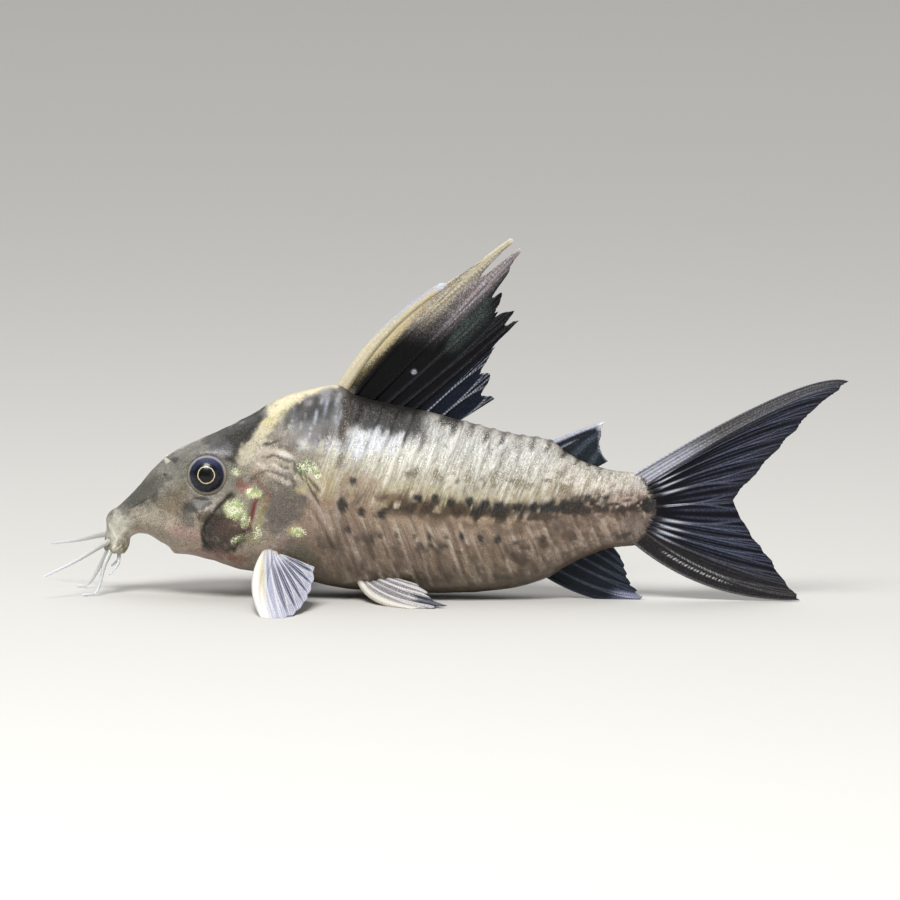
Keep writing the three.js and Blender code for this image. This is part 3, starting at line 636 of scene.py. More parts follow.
GILL_COVER = [
    (-20.9, 13.2), (-21.35, 11.0), (-21.75, 9.0), (-22.2, 7.3), (-23.0, 5.9), (-24.4, 5.2),
    (-25.8, 5.4), (-26.7, 6.5), (-26.9, 8.2), (-26.2, 9.9), (-24.8, 11.3), (-23.2, 12.6), (-20.9, 13.2),
]

COLLAR = [(-16.8, 13.6), (-15.2, 11.4), (-13.6, 9.2), (-12.2, 6.4)]


@dataclass(frozen=True)
class Fold:
    """A groove in the skin through points (x, z). Millimetres."""

    points: Sequence[tuple[float, float]]
    depth: float
    width: float


FOLDS = (
    Fold([(-20.6, 16.6), (-18.6, 17.0), (-16.9, 16.4)], 0.22, 0.16),
    Fold([(-20.7, 15.2), (-19.2, 15.5), (-17.2, 14.7)], 0.18, 0.17),
    Fold([(-34.6, 8.6), (-33.2, 9.3), (-31.6, 10.0)], 0.12, 0.16),
)


class Skin:
    """One closed skin over head, trunk and tail stalk, with plates, gill covers, lips and orbits."""

    ROWS = (0, 50, 150, 176, 396, 420)

    def __init__(self, plan: BodyPlan, armour: Armour, eye: Eye) -> None:
        """Keep the shapes that the skin follows.

        Args:
            plan: The bare surface.
            armour: The plates.
            eye: The eye that it closes round.
        """
        self.plan = plan
        self.armour = armour
        self.eye = eye

    def build(self) -> bpy.types.Object:
        """Lay the skin as one grid, closer rows where the plates and the mouth are."""
        return grid_piece("skin", self.ROWS[-1], 220, self.lay)

    def rings(self, along: np.ndarray) -> np.ndarray:
        """Spread the rows so that each plate has ten.

        Args:
            along: Shares of the way along the skin.

        Returns:
            The station of each row.
        """
        row = along * self.ROWS[-1]
        plates = np.interp(row, self.ROWS[3:5], (0, self.armour.counts[-1]))
        inside = np.interp(plates, self.armour.counts, self.armour.stations)
        ends = (-42.4, -36.2, -20.6, self.armour.stations[0], self.armour.stations[-1], 24.2)
        ring = np.interp(row, self.ROWS, ends)
        return np.where((row >= self.ROWS[3]) & (row <= self.ROWS[4]), inside, ring)

    def lay(self, along: np.ndarray, around: np.ndarray) -> Cloth:
        """Place the skin and work out its markings.

        Args:
            along: Shares from the floor of the mouth to the end of the tail stalk.
            around: Shares of a turn from the belly's middle.

        Returns:
            The places, pattern coordinates and masks.
        """
        arm = self.armour
        ring = self.rings(along)
        angle = 2 * math.pi * around - math.pi / 2
        bare = self.plan.point(ring, angle)
        lateral = self.plan.point(ring, np.zeros_like(angle))
        lean = ease(-20.6, arm.stations[0] + 3.4, ring) - ease(18.2, 24.2, ring)
        station = ring + arm.slant * lean * np.abs(bare[:, 2] - lateral[:, 2])
        places = self.plan.point(station, angle)
        normal = self.plan.normal(station, angle)
        fold = np.arcsin(np.clip(np.sin(angle), -1, 1))
        apart = np.sign(np.cos(angle)) * 9.0 + np.sign(fold) * 31.0
        sheet = np.stack([ring, np.abs(fold) * 9.0, apart], axis=1)
        rise, rim, phase, plated = self.plates(ring, fold, sheet)
        rise = rise + self.relief(places, station, fold)
        places = places + normal * rise[:, None]
        places[:, 1] *= 1 - 0.96 * ease(-2.0, 3.5, tail_root(places))
        places = self.round_eyes(places)
        above = places[:, 2] - lateral[:, 2]
        coat = SkinColours(places, fold, sheet, above, phase, rim, plated)
        masks = {
            "pigment": coat.pigment(), "gleam": coat.gleam(), "silver": coat.silver(),
            "speckle": coat.speckle(), "plated": plated,
        }
        return Cloth(places, sheet[:, :2], masks)

    def plates(self, ring: np.ndarray, fold: np.ndarray, sheet: np.ndarray) -> tuple[np.ndarray, ...]:
        """Raise the overlapping plates.

        Args:
            ring: The station of each row, before it leans.
            fold: The angle above or below the lateral line.
            sheet: Places on the plates, laid flat.

        Returns:
            The rise in millimetres, the free edges, how far along its plate each place is, and where the
            armour is.
        """
        arm = self.armour
        step = arm.steps(ring)
        inside = (ring > arm.stations[0] - 1e-6) & (ring < arm.stations[-1] + 1e-6)
        phase = step - np.floor(step + 1e-6)
        margin = np.where(fold > 0, arm.back, arm.belly)
        row = np.clip(np.abs(fold) / 0.1, 0, 1) * np.clip(np.abs(margin - fold) / 0.2, 0, 1)
        row = row * ((fold < arm.back) & (fold > arm.belly)) * inside
        patchy = 0.7 + 0.6 * cloud(sheet, 1.8, 3)
        slope = np.clip(phase / arm.edge, 0, 1) ** 1.15 * (phase <= arm.edge + 0.02)
        rim = hill(phase - arm.edge + 0.04, 0.1) * row
        return arm.rise * slope * row * patchy, rim, phase, row

    def relief(self, places: np.ndarray, station: np.ndarray, fold: np.ndarray) -> np.ndarray:
        """Model the gill cover, the collar plate, the nape, the lips and the skin's fine unevenness.

        Args:
            places: Places in millimetres, one row each.
            station: The station of each place.
            fold: The angle above or below the lateral line.

        Returns:
            The rise in millimetres.
        """
        x = places[:, 0]
        head = 1 - ease(-19.5, -17.5, x)
        edge = line_distance(places, GILL_COVER)
        inside = inside_outline(places, GILL_COVER)
        cover = np.where(inside, ease(0, 0.5, edge) * 0.2 + 0.04, 0) - 0.3 * hill(edge, 0.2)
        bulge = np.where(inside, 0.3 * ease(0, 2.2, edge), 0)
        rise = (cover + bulge) * (np.abs(fold) < 1.25)
        collar = line_distance(places, COLLAR)
        rise += 0.18 * hill(collar, 0.3) - 0.14 * hill(collar - 0.5, 0.22) * (x < -11)
        for groove in FOLDS:
            rise -= groove.depth * hill(line_distance(places, groove.points), groove.width)
        lips = ease(-41.3, -40.4, station) * (1 - ease(-39.6, -38.2, station))
        rise += lips * (0.08 + 0.05 * np.sin(fold * 13 + 3 * np.sin(station * 3)))
        rise += 0.12 * (cloud(places, 1.3, 5) - 0.5) * (0.4 + 0.6 * head)
        ridge = hill(fold - math.pi / 2, 0.2) * ease(0.5, 2.5, x) * (1 - ease(11.4, 12.6, x))
        rise += ridge * 0.12 * np.clip(np.sin(x * 2 * math.pi / 1.6), 0, 1)
        return rise + 0.04 * (cloud(places, 0.35, 7) - 0.5)

    def round_eyes(self, places: np.ndarray) -> np.ndarray:
        """Draw the skin to the eyeballs, with a low ring round each opening.

        Args:
            places: Places in millimetres, one row each.

        Returns:
            The moved places.
        """
        moved = places.copy()
        for side in Side:
            mirror = np.array([1, side.value, 1])
            gaze = np.array(self.eye.gaze) * mirror
            gaze = gaze / np.linalg.norm(gaze)
            away = moved - np.array(self.eye.centre) * mirror
            height = away @ gaze
            reach = np.linalg.norm(away - height[:, None] * gaze, axis=1)
            opening = self.eye.open_radius
            meet = math.sqrt(self.eye.radius**2 - opening**2) + 0.14
            goal = meet - 1.5 * np.clip(opening - reach, 0, None) + 0.1 * hill(reach - opening - 0.2, 0.14)
            pull = (1 - ease(opening, opening + 2.3, reach)) * ease(-1.6, -0.6, height)
            pull = pull * (moved[:, 1] * side.value > 0)
            moved = moved + ((goal - height) * pull)[:, None] * gaze
        return moved


@dataclass
class SkinColours:
    """The fish's colours, from broad tones to single marks, worked out at every point of the skin."""

    places: np.ndarray
    fold: np.ndarray
    sheet: np.ndarray
    above: np.ndarray
    phase: np.ndarray
    rim: np.ndarray
    plated: np.ndarray

    def __post_init__(self) -> None:
        """Work out the unevenness that frays every mark."""
        self.level = self.fold / (math.pi / 2)
        self.x = self.places[:, 0]
        fine = cloud(self.places, 0.35, 12) - 0.5
        self.rough = 1.1 * (cloud(self.places, 0.8, 11) - 0.5) + 0.6 * fine
        self.bars = cloud(self.sheet / np.array([0.42, 2.2, 1.0]), 1.0, 14)
        self.clots = cloud(self.sheet / np.array([0.6, 0.75, 1.0]), 1.0, 15)
        self.dusk = np.zeros(len(self.x))
        self.frayed = 1.5 * (self.bars - 0.5) + 0.5 * fine

    def tone(self, *stops: tuple[float, str]) -> np.ndarray:
        """Blend colours over the height of the body.

        Args:
            stops: Heights from -1 at the belly to 1 at the back, with their colours.

        Returns:
            The pigment.
        """
        heights = [stop[0] for stop in stops]
        colours = np.array([srgb(stop[1]) for stop in stops])
        at = self.level + 0.07 * self.rough
        return np.stack([np.interp(at, heights, colours[:, c]) for c in range(3)], axis=1)

    def span(self, start: float, full: float, fading: float, end: float) -> np.ndarray:
        """Fade a pattern in and out along the body."""
        return ease(start, full, self.x) * (1 - ease(fading, end, self.x))

    def pigment(self) -> np.ndarray:
        """Lay tones, plate shading, stripes and marks over one another, then paint shade under the belly.

        Returns:
            Linear red, green and blue at each place.
        """
        head = self.tone(
            (-0.9, "b3a297"), (-0.4, "b3a18d"), (0.0, "a69a87"),
            (0.35, "949083"), (0.9, "86857a"), (1.0, "b4b1a4"),
        )
        trunk = self.tone(
            (-1.0, "6c6257"), (-0.8, "81725f"), (-0.5, "95806a"), (-0.15, "a88f7c"), (0.02, "b0967c"),
            (0.12, "bfb086"), (0.3, "beb9a6"), (0.6, "bcbdb9"), (0.9, "a09b92"), (1.0, "877f74"),
        )
        stalk = self.tone(
            (-1.0, "84715f"), (-0.3, "ab9180"), (0.0, "9c8372"),
            (0.25, "c0b19a"), (0.7, "bab3a6"), (1.0, "97907f"),
        )
        coat = head + (trunk - head) * ease(-20.5, -17.0, self.x)[:, None]
        coat = coat + (stalk - coat) * ease(9.0, 15.0, self.x)[:, None]
        coat = self.shade_plates(coat)
        coat = self.stripes(coat)
        for group in (HEAD, ABOVE_PECTORAL, HEAD_LINES):
            coat = self.mark(coat, self.rough, group)
        for group in (UPPER_FLANK, LOWER_FLANK, SHOULDER, STRIPE, RIDGE_LINES, SHOULDER_LINES):
            coat = self.mark(coat, self.frayed, group)
        for group in (GLEAM, STRIPE_DOTS, LOWER_DOTS):
            coat = self.mark(coat, 0.9 * self.frayed, group)
        end = 0.6 * ease(19.8, 21.2, self.x) * ease(0.25, 0.5, self.level) * ease(0.4, 0.6, self.bars)
        coat = lay_over(coat, ("bcb9b8", end))
        root = tail_root(self.places) + 0.8 * self.rough
        coat = lay_over(coat, ("463e3f", 0.9 * ease(1.7, 2.7, root) * (self.x > 18)))
        light = coat @ np.array([0.2126, 0.7152, 0.0722])
        # Painted shade: the underside darkens by up to 30 per cent, from the head backwards
        under = 1 - 0.3 * (1 - ease(-0.95, -0.45, self.level)) * ease(-30, -20, self.x)
        return coat * (np.clip((light / 0.6) ** 0.55, 0, 1.05) * under)[:, None]

    def shade_plates(self, coat: np.ndarray) -> np.ndarray:
        """Give each plate painted shade at its root and a painted highlight on its free edge, broken up in
        patches.

        Args:
            coat: The pigment so far.

        Returns:
            The new pigment.
        """
        low = 1 - ease(-0.05, 0.05, self.level)
        patchy = ease(0.25, 0.75, self.bars)
        # Painted shade at the plates' roots and painted highlights on their free edges, below and then above
        # the lateral line; pale and dark streaks follow
        coat = lay_over(
            coat,
            ("6b5848", 0.42 * low * self.plated * hill(self.phase - 0.12, 0.16) * patchy),
            ("d9d0c2", 0.45 * low * self.rim * patchy * ease(-0.75, -0.35, self.level)),
            ("8b7f6e", 0.3 * (1 - low) * self.plated * hill(self.phase - 0.08, 0.13) * patchy),
            ("efece4", 0.35 * (1 - low) * self.rim * patchy),
            ("efece6", 0.3 * (1 - low) * self.plated * ease(0.55, 0.8, self.bars)),
            ("7a6c5a", 0.3 * (1 - low) * self.plated * (1 - ease(0.22, 0.42, self.bars))),
        )
        coat = self.dusky_back(coat)
        speckled = 0.75 * ease(0.5, 0.72, self.clots) * low * self.span(-14, -10, 22, 23)
        fine = ease(0.56, 0.76, self.bars) * low * self.plated
        return lay_over(
            coat,
            ("c9b5a0", 0.4 * fine * ease(-0.8, -0.4, self.level)),
            ("50433a", 0.4 * (1 - ease(0.24, 0.42, self.bars)) * low * self.plated),
            ("5f4c3a", speckled * 0.45),
        )

    def stripes(self, coat: np.ndarray) -> np.ndarray:
        """Lay the broken brown band along the lateral line and the ticks under the back's ridge.

        Args:
            coat: The pigment so far.

        Returns:
            The new pigment.
        """
        along = self.span(-12.5, -8.0, 21.5, 23.0)
        wave = self.above + 0.5 * self.rough
        broken = ease(0.5, 0.7, self.clots)
        coat = lay_over(
            coat,
            ("8f7760", 0.7 * hill(wave - 0.7, 1.5) * along * ease(0.3, 0.6, self.clots)),
            ("4a3726", 0.95 * hill(wave - 0.9, 0.9) * along * ease(0.36, 0.56, self.clots)),
            ("222326", 0.9 * hill(wave - 1.4, 0.65) * self.span(-5, 2, 17, 20) * ease(0.45, 0.6, self.bars)),
            ("7b6a50", 0.75 * hill(self.above - 4.3, 0.9) * self.span(-7, -4, 12, 15) * broken),
            ("4b3b32", 0.6 * hill(self.above + 3.3, 0.6) * self.span(-12, -8, 9, 12) * broken),
        )
        high = ease(0.6, 0.72, self.level) * (1 - ease(0.95, 1.0, self.level))
        ticks = hill(self.phase - 0.55, 0.2) * high * self.span(-1.0, 1.0, 17.0, 20.0)
        return lay_over(
            coat,
            ("4b3d30", 0.85 * ticks * ease(0.2, 0.5, self.bars)),
            ("d9d3c6", 0.4 * high * hill(self.phase - 0.02, 0.15) * self.span(-1.0, 1.0, 17.0, 20.0)),
        )

    def dusky_back(self, coat: np.ndarray) -> np.ndarray:
        """Darken the shoulder and the saddle under the dorsal fin, with steel-blue bars between.

        Args:
            coat: The pigment so far.

        Returns:
            The new pigment.
        """
        shoulder = self.span(-18.6, -16.6, -12.0, -10.6) * ease(0.32, 0.46, self.level + 0.12 * self.rough)
        saddle = self.span(-12.0, -10.6, -3.6, -1.2) * ease(0.46, 0.6, self.level + 0.16 * (self.bars - 0.5))
        self.dusk = np.clip(np.maximum(shoulder, saddle), 0, 1)
        return lay_over(
            coat,
            ("6b6666", 0.78 * shoulder),
            ("2b2a2d", 0.85 * shoulder * (1 - ease(0.3, 0.5, self.bars))),
            ("2d2c30", 0.9 * saddle),
            ("a6a9b4", 0.5 * shoulder * ease(0.58, 0.74, self.bars)),
            ("6f6c70", 0.5 * saddle * ease(0.62, 0.8, self.bars)),
        )

    def mark(self, coat: np.ndarray, rough: np.ndarray, marks: Sequence[Spot | Streak]) -> np.ndarray:
        """Lay a group of marks over the pigment, one on another."""
        return lay_over(coat, *((one.colour, one.mask(self.places, rough)) for one in marks))

    def gleam(self) -> np.ndarray:
        """Find the iridescent patches of the gill cover and shoulder."""
        patches = [spot.mask(self.places, 0.5 * self.rough) for spot in GLEAM]
        return np.max(patches, axis=0)

    def silver(self) -> np.ndarray:
        """Find where the upper plates shine like silver."""
        upper = ease(0.12, 0.4, self.level) * self.plated * (1 - ease(0.8, 0.95, self.level))
        return upper * (1 - 0.85 * self.dusk)

    def speckle(self) -> np.ndarray:
        """Set how dense the fine dark grains lie: densest on the head.

        Returns:
            Shares from 0.3 to 1.
        """
        snout = 1 - ease(-36, -31, self.x)
        head = 0.5 * (1 - ease(-19, -13, self.x)) * (1 - 0.5 * snout)
        return 0.5 + head - 0.2 * ease(0.1, 0.3, self.level) * self.plated


def lay_over(pigment: np.ndarray, *coats: tuple[str, np.ndarray]) -> np.ndarray:
    """Mix colours into the pigment, one after another.

    Args:
        pigment: The colour so far at each place.
        coats: Each colour with how much of it every place takes.

    Returns:
        The new pigment.
    """
    for colour, amount in coats:
        pigment = pigment + (np.array(srgb(colour)) - pigment) * np.clip(amount, 0, 1)[:, None]
    return pigment


def inside_outline(places: np.ndarray, outline: Sequence[tuple[float, float]]) -> np.ndarray:
    """Tell which places lie inside a closed outline (x, z), seen from the side.

    Args:
        places: Places in millimetres, one row each.
        outline: Its points, the first one again at the end.

    Returns:
        True for those inside.
    """
    x, z = places[:, 0], places[:, 2]
    inside = np.zeros(len(places), bool)
    for (x0, z0), (x1, z1) in zip(outline[:-1], outline[1:]):
        crosses = (z0 > z) != (z1 > z)
        at = x0 + (z - z0) * (x1 - x0) / (z1 - z0 if z1 != z0 else 1e-9)
        inside ^= crosses & (x < at)
    return inside


# Fins


@dataclass(frozen=True)
class Ray:
    """A fin ray from its root to its tip, bowed by an offset at its middle. Millimetres."""

    root: tuple[float, ...]
    tip: tuple[float, ...]
    bow: tuple[float, ...] = (0.0, 0.0, 0.0)

    def points(self, share: np.ndarray) -> np.ndarray:
        """Give the points at the shares of its length.

        Args:
            share: Shares of its length.

        Returns:
            One place for each share.
        """
        ends = [self.upright(end) for end in (self.root, self.tip, self.bow)]
        middle = (ends[0] + ends[1]) / 2 + 2 * ends[2]
        u = share[:, None]
        return ends[0] * (1 - u) ** 2 + 2 * middle * u * (1 - u) + ends[1] * u**2

    @staticmethod
    def upright(point: tuple[float, ...]) -> np.ndarray:
        """Put a point given as (x, z) on the middle plane."""
        return np.array([point[0], 0.0, point[1]] if len(point) == 2 else point, float)


class Branching(Enum):
    """How often a fin's rays split on their way out."""

    NONE = 0
    ONCE = 1
    TWICE = 2


@dataclass
class FinSheet:
    """Every point of a fin: its ray number, share of the way out, ridge height and place."""

    order: np.ndarray
    out: np.ndarray
    ridge: np.ndarray
    places: np.ndarray

    def fill(self, colour: str) -> np.ndarray:
        """Start with one colour all over."""
        return np.tile(np.array(srgb(colour)), (len(self.out), 1))

    def near(self, order: float, width: float) -> np.ndarray:
        """Pick the stretch round one ray."""
        return hill(self.order - order, width)


def dorsal_tint(fin: FinSheet) -> np.ndarray:
    """Black sail with a cream spine, grey-pink first rays and thin white rays at the back.

    Args:
        fin: The fin's points.

    Returns:
        Linear red, green and blue at each point.
    """
    o, u = fin.order, fin.out
    coat = fin.fill("09090b")
    coat = lay_over(
        coat,
        ("0f1624", 0.95 * ease(5.1, 5.9, o)),
        ("343438", 0.5 * fin.ridge * ease(2.2, 3.0, o) * (1 - ease(5.0, 5.6, o))),
        ("45504c", 0.6 * fin.near(2.9, 0.5) * ease(0.5, 0.62, u) * (1 - ease(0.8, 0.95, u))),
    )
    pink = ease(0.28, 0.62, u - 0.05 * o) * (1 - ease(2.05, 2.6, o))
    coat = lay_over(
        coat,
        ("83797b", 0.75 * pink),
        ("b3a8aa", 0.75 * pink * fin.ridge),
        ("1c1a1e", 0.7 * pink * fin.near(1.5, 0.13) * (1 - ease(0.6, 0.75, u))),
    )
    first = fin.near(1.0, 0.36) * ease(0.4, 0.6, u)
    coat = lay_over(coat, ("bdb296", 0.85 * first))
    spine = 1 - ease(0.12, 0.7, o + 0.35 * (1 - ease(0, 0.35, u)) - 0.2 * hill(u - 0.45, 0.2))
    coat = lay_over(
        coat,
        ("d6caa8", spine),
        ("efe5c8", 0.6 * spine * hill(o - 0.18, 0.16)),
        ("cbb67c", 0.5 * hill(o - 0.55, 0.2) * hill(u - 0.42, 0.22)),
        ("c6cbe0", 0.9 * hill(o, 0.13) * ease(0.55, 0.8, u)),
        ("d6cdb6", 0.7 * (1 - ease(0.03, 0.12, u)) * (1 - ease(0.6, 1.0, o))),
    )
    beads = 0.6 + 0.4 * np.sin(u * 2 * math.pi * 26)
    coat = lay_over(coat, ("c9ccd8", 0.9 * beads * fin.ridge**5 * ease(5.6, 6.0, o)))
    speck = np.linalg.norm(fin.places[:, [0, 2]] - np.array([-3.8, 25.1]), axis=1)
    return lay_over(coat, ("8d8f98", 0.9 * (1 - ease(0.2, 0.4, speck))))


def tail_tint(fin: FinSheet) -> np.ndarray:
    """Blue-black web between slate rays that shine white near their roots.

    Args:
        fin: The fin's points.

    Returns:
        Linear red, green and blue at each point.
    """
    o, u = fin.order, fin.out
    coat = fin.fill("0d0e15")
    ray = np.clip(fin.ridge * 1.2, 0, 1) ** 1.6
    root = tail_root(fin.places) - 0.5 * np.cos(o * 2 * math.pi)
    coat = lay_over(
        coat,
        ("575d73", 0.8 * ray * (1 - 0.35 * u)),
        ("d4d8e2", 0.9 * ray * hill(root - 4.6, 1.5) * ease(1.4, 2.2, o)),
        ("6a6f88", 0.3 * hill(u - 0.62, 0.3) * ray),
    )
    threads = (0.5 + 0.5 * np.cos(o * 2 * math.pi * 3)) ** 3
    return lay_over(
        coat,
        ("4a5066", 0.45 * threads * ease(0.25, 0.5, u)),
        ("1d191b", 0.9 * (1 - ease(2.9, 3.7, root))),
        ("6f6766", 0.9 * (1 - ease(1.4, 2.4, root))),
    )


def tail_upper_tint(fin: FinSheet) -> np.ndarray:
    """The upper lobe, with a band of pale jointed rays along its edge.

    Args:
        fin: The fin's points.

    Returns:
        Linear red, green and blue at each point.
    """
    o, u = fin.order, fin.out
    coat = tail_tint(fin)
    edge = 1 - ease(0.9, 2.2, o + 0.8 * u)
    threads = 0.5 + 0.5 * np.cos(o * 2 * math.pi * 4)
    ticks = 0.5 + 0.5 * np.sin(u * 2 * math.pi * 70 + 3 * o)
    return lay_over(
        coat,
        ("8f8c89", edge * (1 - 0.4 * u) * (0.2 + 0.65 * threads * ticks)),
        ("c3c7d6", 0.85 * (1 - ease(0.08, 0.3, u)) * (1 - ease(0.8, 2.2, o)) * (0.35 + 0.65 * threads)),
        ("2b2c36", 0.5 * ease(0.75, 1.0, u)),
    )


def tail_lower_tint(fin: FinSheet) -> np.ndarray:
    """The lower lobe, browner at its edge, with a row of bright joints along the second ray.

    Args:
        fin: The fin's points.

    Returns:
        Linear red, green and blue at each point.
    """
    o, u = fin.order, fin.out
    coat = tail_tint(fin)
    coat = lay_over(
        coat,
        ("2b2827", 0.8 * (1 - ease(1.0, 3.0, o))),
        ("5d5a58", 0.5 * fin.ridge * (1 - ease(1.0, 3.0, o))),
        ("7b7d80", 0.7 * hill(o, 0.12)),
    )
    bead = np.clip(np.sin(u * 2 * math.pi * 52 + 2.0 * o), 0, 1)
    dotted = np.maximum(hill(o - 0.7, 0.07), 0.7 * hill(o - 1.05, 0.06)) * bead
    dotted = dotted * ease(0.14, 0.22, u) * (1 - ease(0.5, 0.66, u))
    return lay_over(coat, ("e2e4e6", 0.95 * dotted))


def anal_tint(fin: FinSheet) -> np.ndarray:
    """Dark slate with faint rays and a pale lavender tip.

    Args:
        fin: The fin's points.

    Returns:
        Linear red, green and blue at each point.
    """
    o, u = fin.order, fin.out
    coat = fin.fill("181d23")
    coat = lay_over(coat, ("566070", 0.6 * fin.ridge * (1 - 0.4 * u)))
    tip = ease(0.6, 0.85, u) * (1 - ease(0.9, 1.9, o))
    return lay_over(
        coat,
        ("7d82a0", 0.85 * tip),
        ("c3c6d6", 0.7 * tip * fin.ridge**2),
    )


def adipose_tint(fin: FinSheet) -> np.ndarray:
    """A pale stout spine before a slate web with a light rear edge.

    Args:
        fin: The fin's points.

    Returns:
        Linear red, green and blue at each point.
    """
    o, u = fin.order, fin.out
    coat = fin.fill("20262d")
    return lay_over(
        coat,
        ("4c5662", 0.5 * np.clip(np.sin((o * 5 + u * 4)), 0, 1)),
        ("848b98", 0.7 * ease(0.9, 0.97, u)),
        ("a4a7b8", 1 - ease(0.16, 0.34, o)),
        ("9a9dad", 0.7 * hill(o - 0.55, 0.05) * (1 - ease(0.3, 0.6, u))),
        ("0e1014", 0.6 * hill(o - 0.3, 0.07) * (1 - ease(0.7, 0.9, u))),
        ("eceef4", 0.85 * ease(0.85, 0.97, u) * (1 - ease(0.3, 0.7, o))),
    )


def breast_tint(fin: FinSheet) -> np.ndarray:
    """White spine and rays, ink-blue web towards the back.

    Args:
        fin: The fin's points.

    Returns:
        Linear red, green and blue at each point.
    """
    o, u = fin.order, fin.out
    coat = fin.fill("a6a8bc")
    ink = ease(1.4, 3.0, o) * (1 - ease(0.82, 1.0, u)) * ease(0.12, 0.35, u)
    coat = lay_over(coat, ("272a4c", 0.92 * ink))
    threads = 0.5 + 0.5 * np.cos(o * 2 * math.pi * 3)
    return lay_over(
        coat,
        ("c9cad6", 0.65 * threads**4 * ink),
        ("e6e6ea", 0.9 * np.clip(fin.ridge * 1.2, 0, 1) ** 2.4),
        ("e9e6de", 1 - ease(0.55, 1.0, o)),
        ("cbbd88", 0.7 * hill(o - 0.72, 0.22) * hill(u - 0.4, 0.3)),
        ("a99a80", 0.6 * (1 - ease(0.02, 0.14, u))),
    )


def belly_tint(fin: FinSheet) -> np.ndarray:
    """Cream rays, grey web and a rear lobe painted dark as shade.

    Args:
        fin: The fin's points.

    Returns:
        Linear red, green and blue at each point.
    """
    o, u = fin.order, fin.out
    coat = fin.fill("77747a")
    threads = 0.5 + 0.5 * np.cos(o * 2 * math.pi * 4)
    coat = lay_over(
        coat,
        ("b9b5b4", 0.5 * threads**3),
        ("e9e6e2", 0.9 * np.clip(fin.ridge * 1.2, 0, 1) ** 1.4),
        ("e0dacf", 1 - ease(0.35, 0.8, o)),
        ("b39c84", 0.5 * (1 - ease(0.04, 0.25, u))),
    )
    # Painted shade: the outer rear lobe is dark blue-grey, as a fin tip in shade, with paler rays
    lobe = ease(0.66, 0.8, u) * ease(1.1, 1.5, o) * (1 - ease(2.6, 3.1, o))
    return lay_over(
        coat,
        ("262a38", 0.95 * lobe),
        ("7d8296", 0.6 * lobe * fin.ridge),
    )


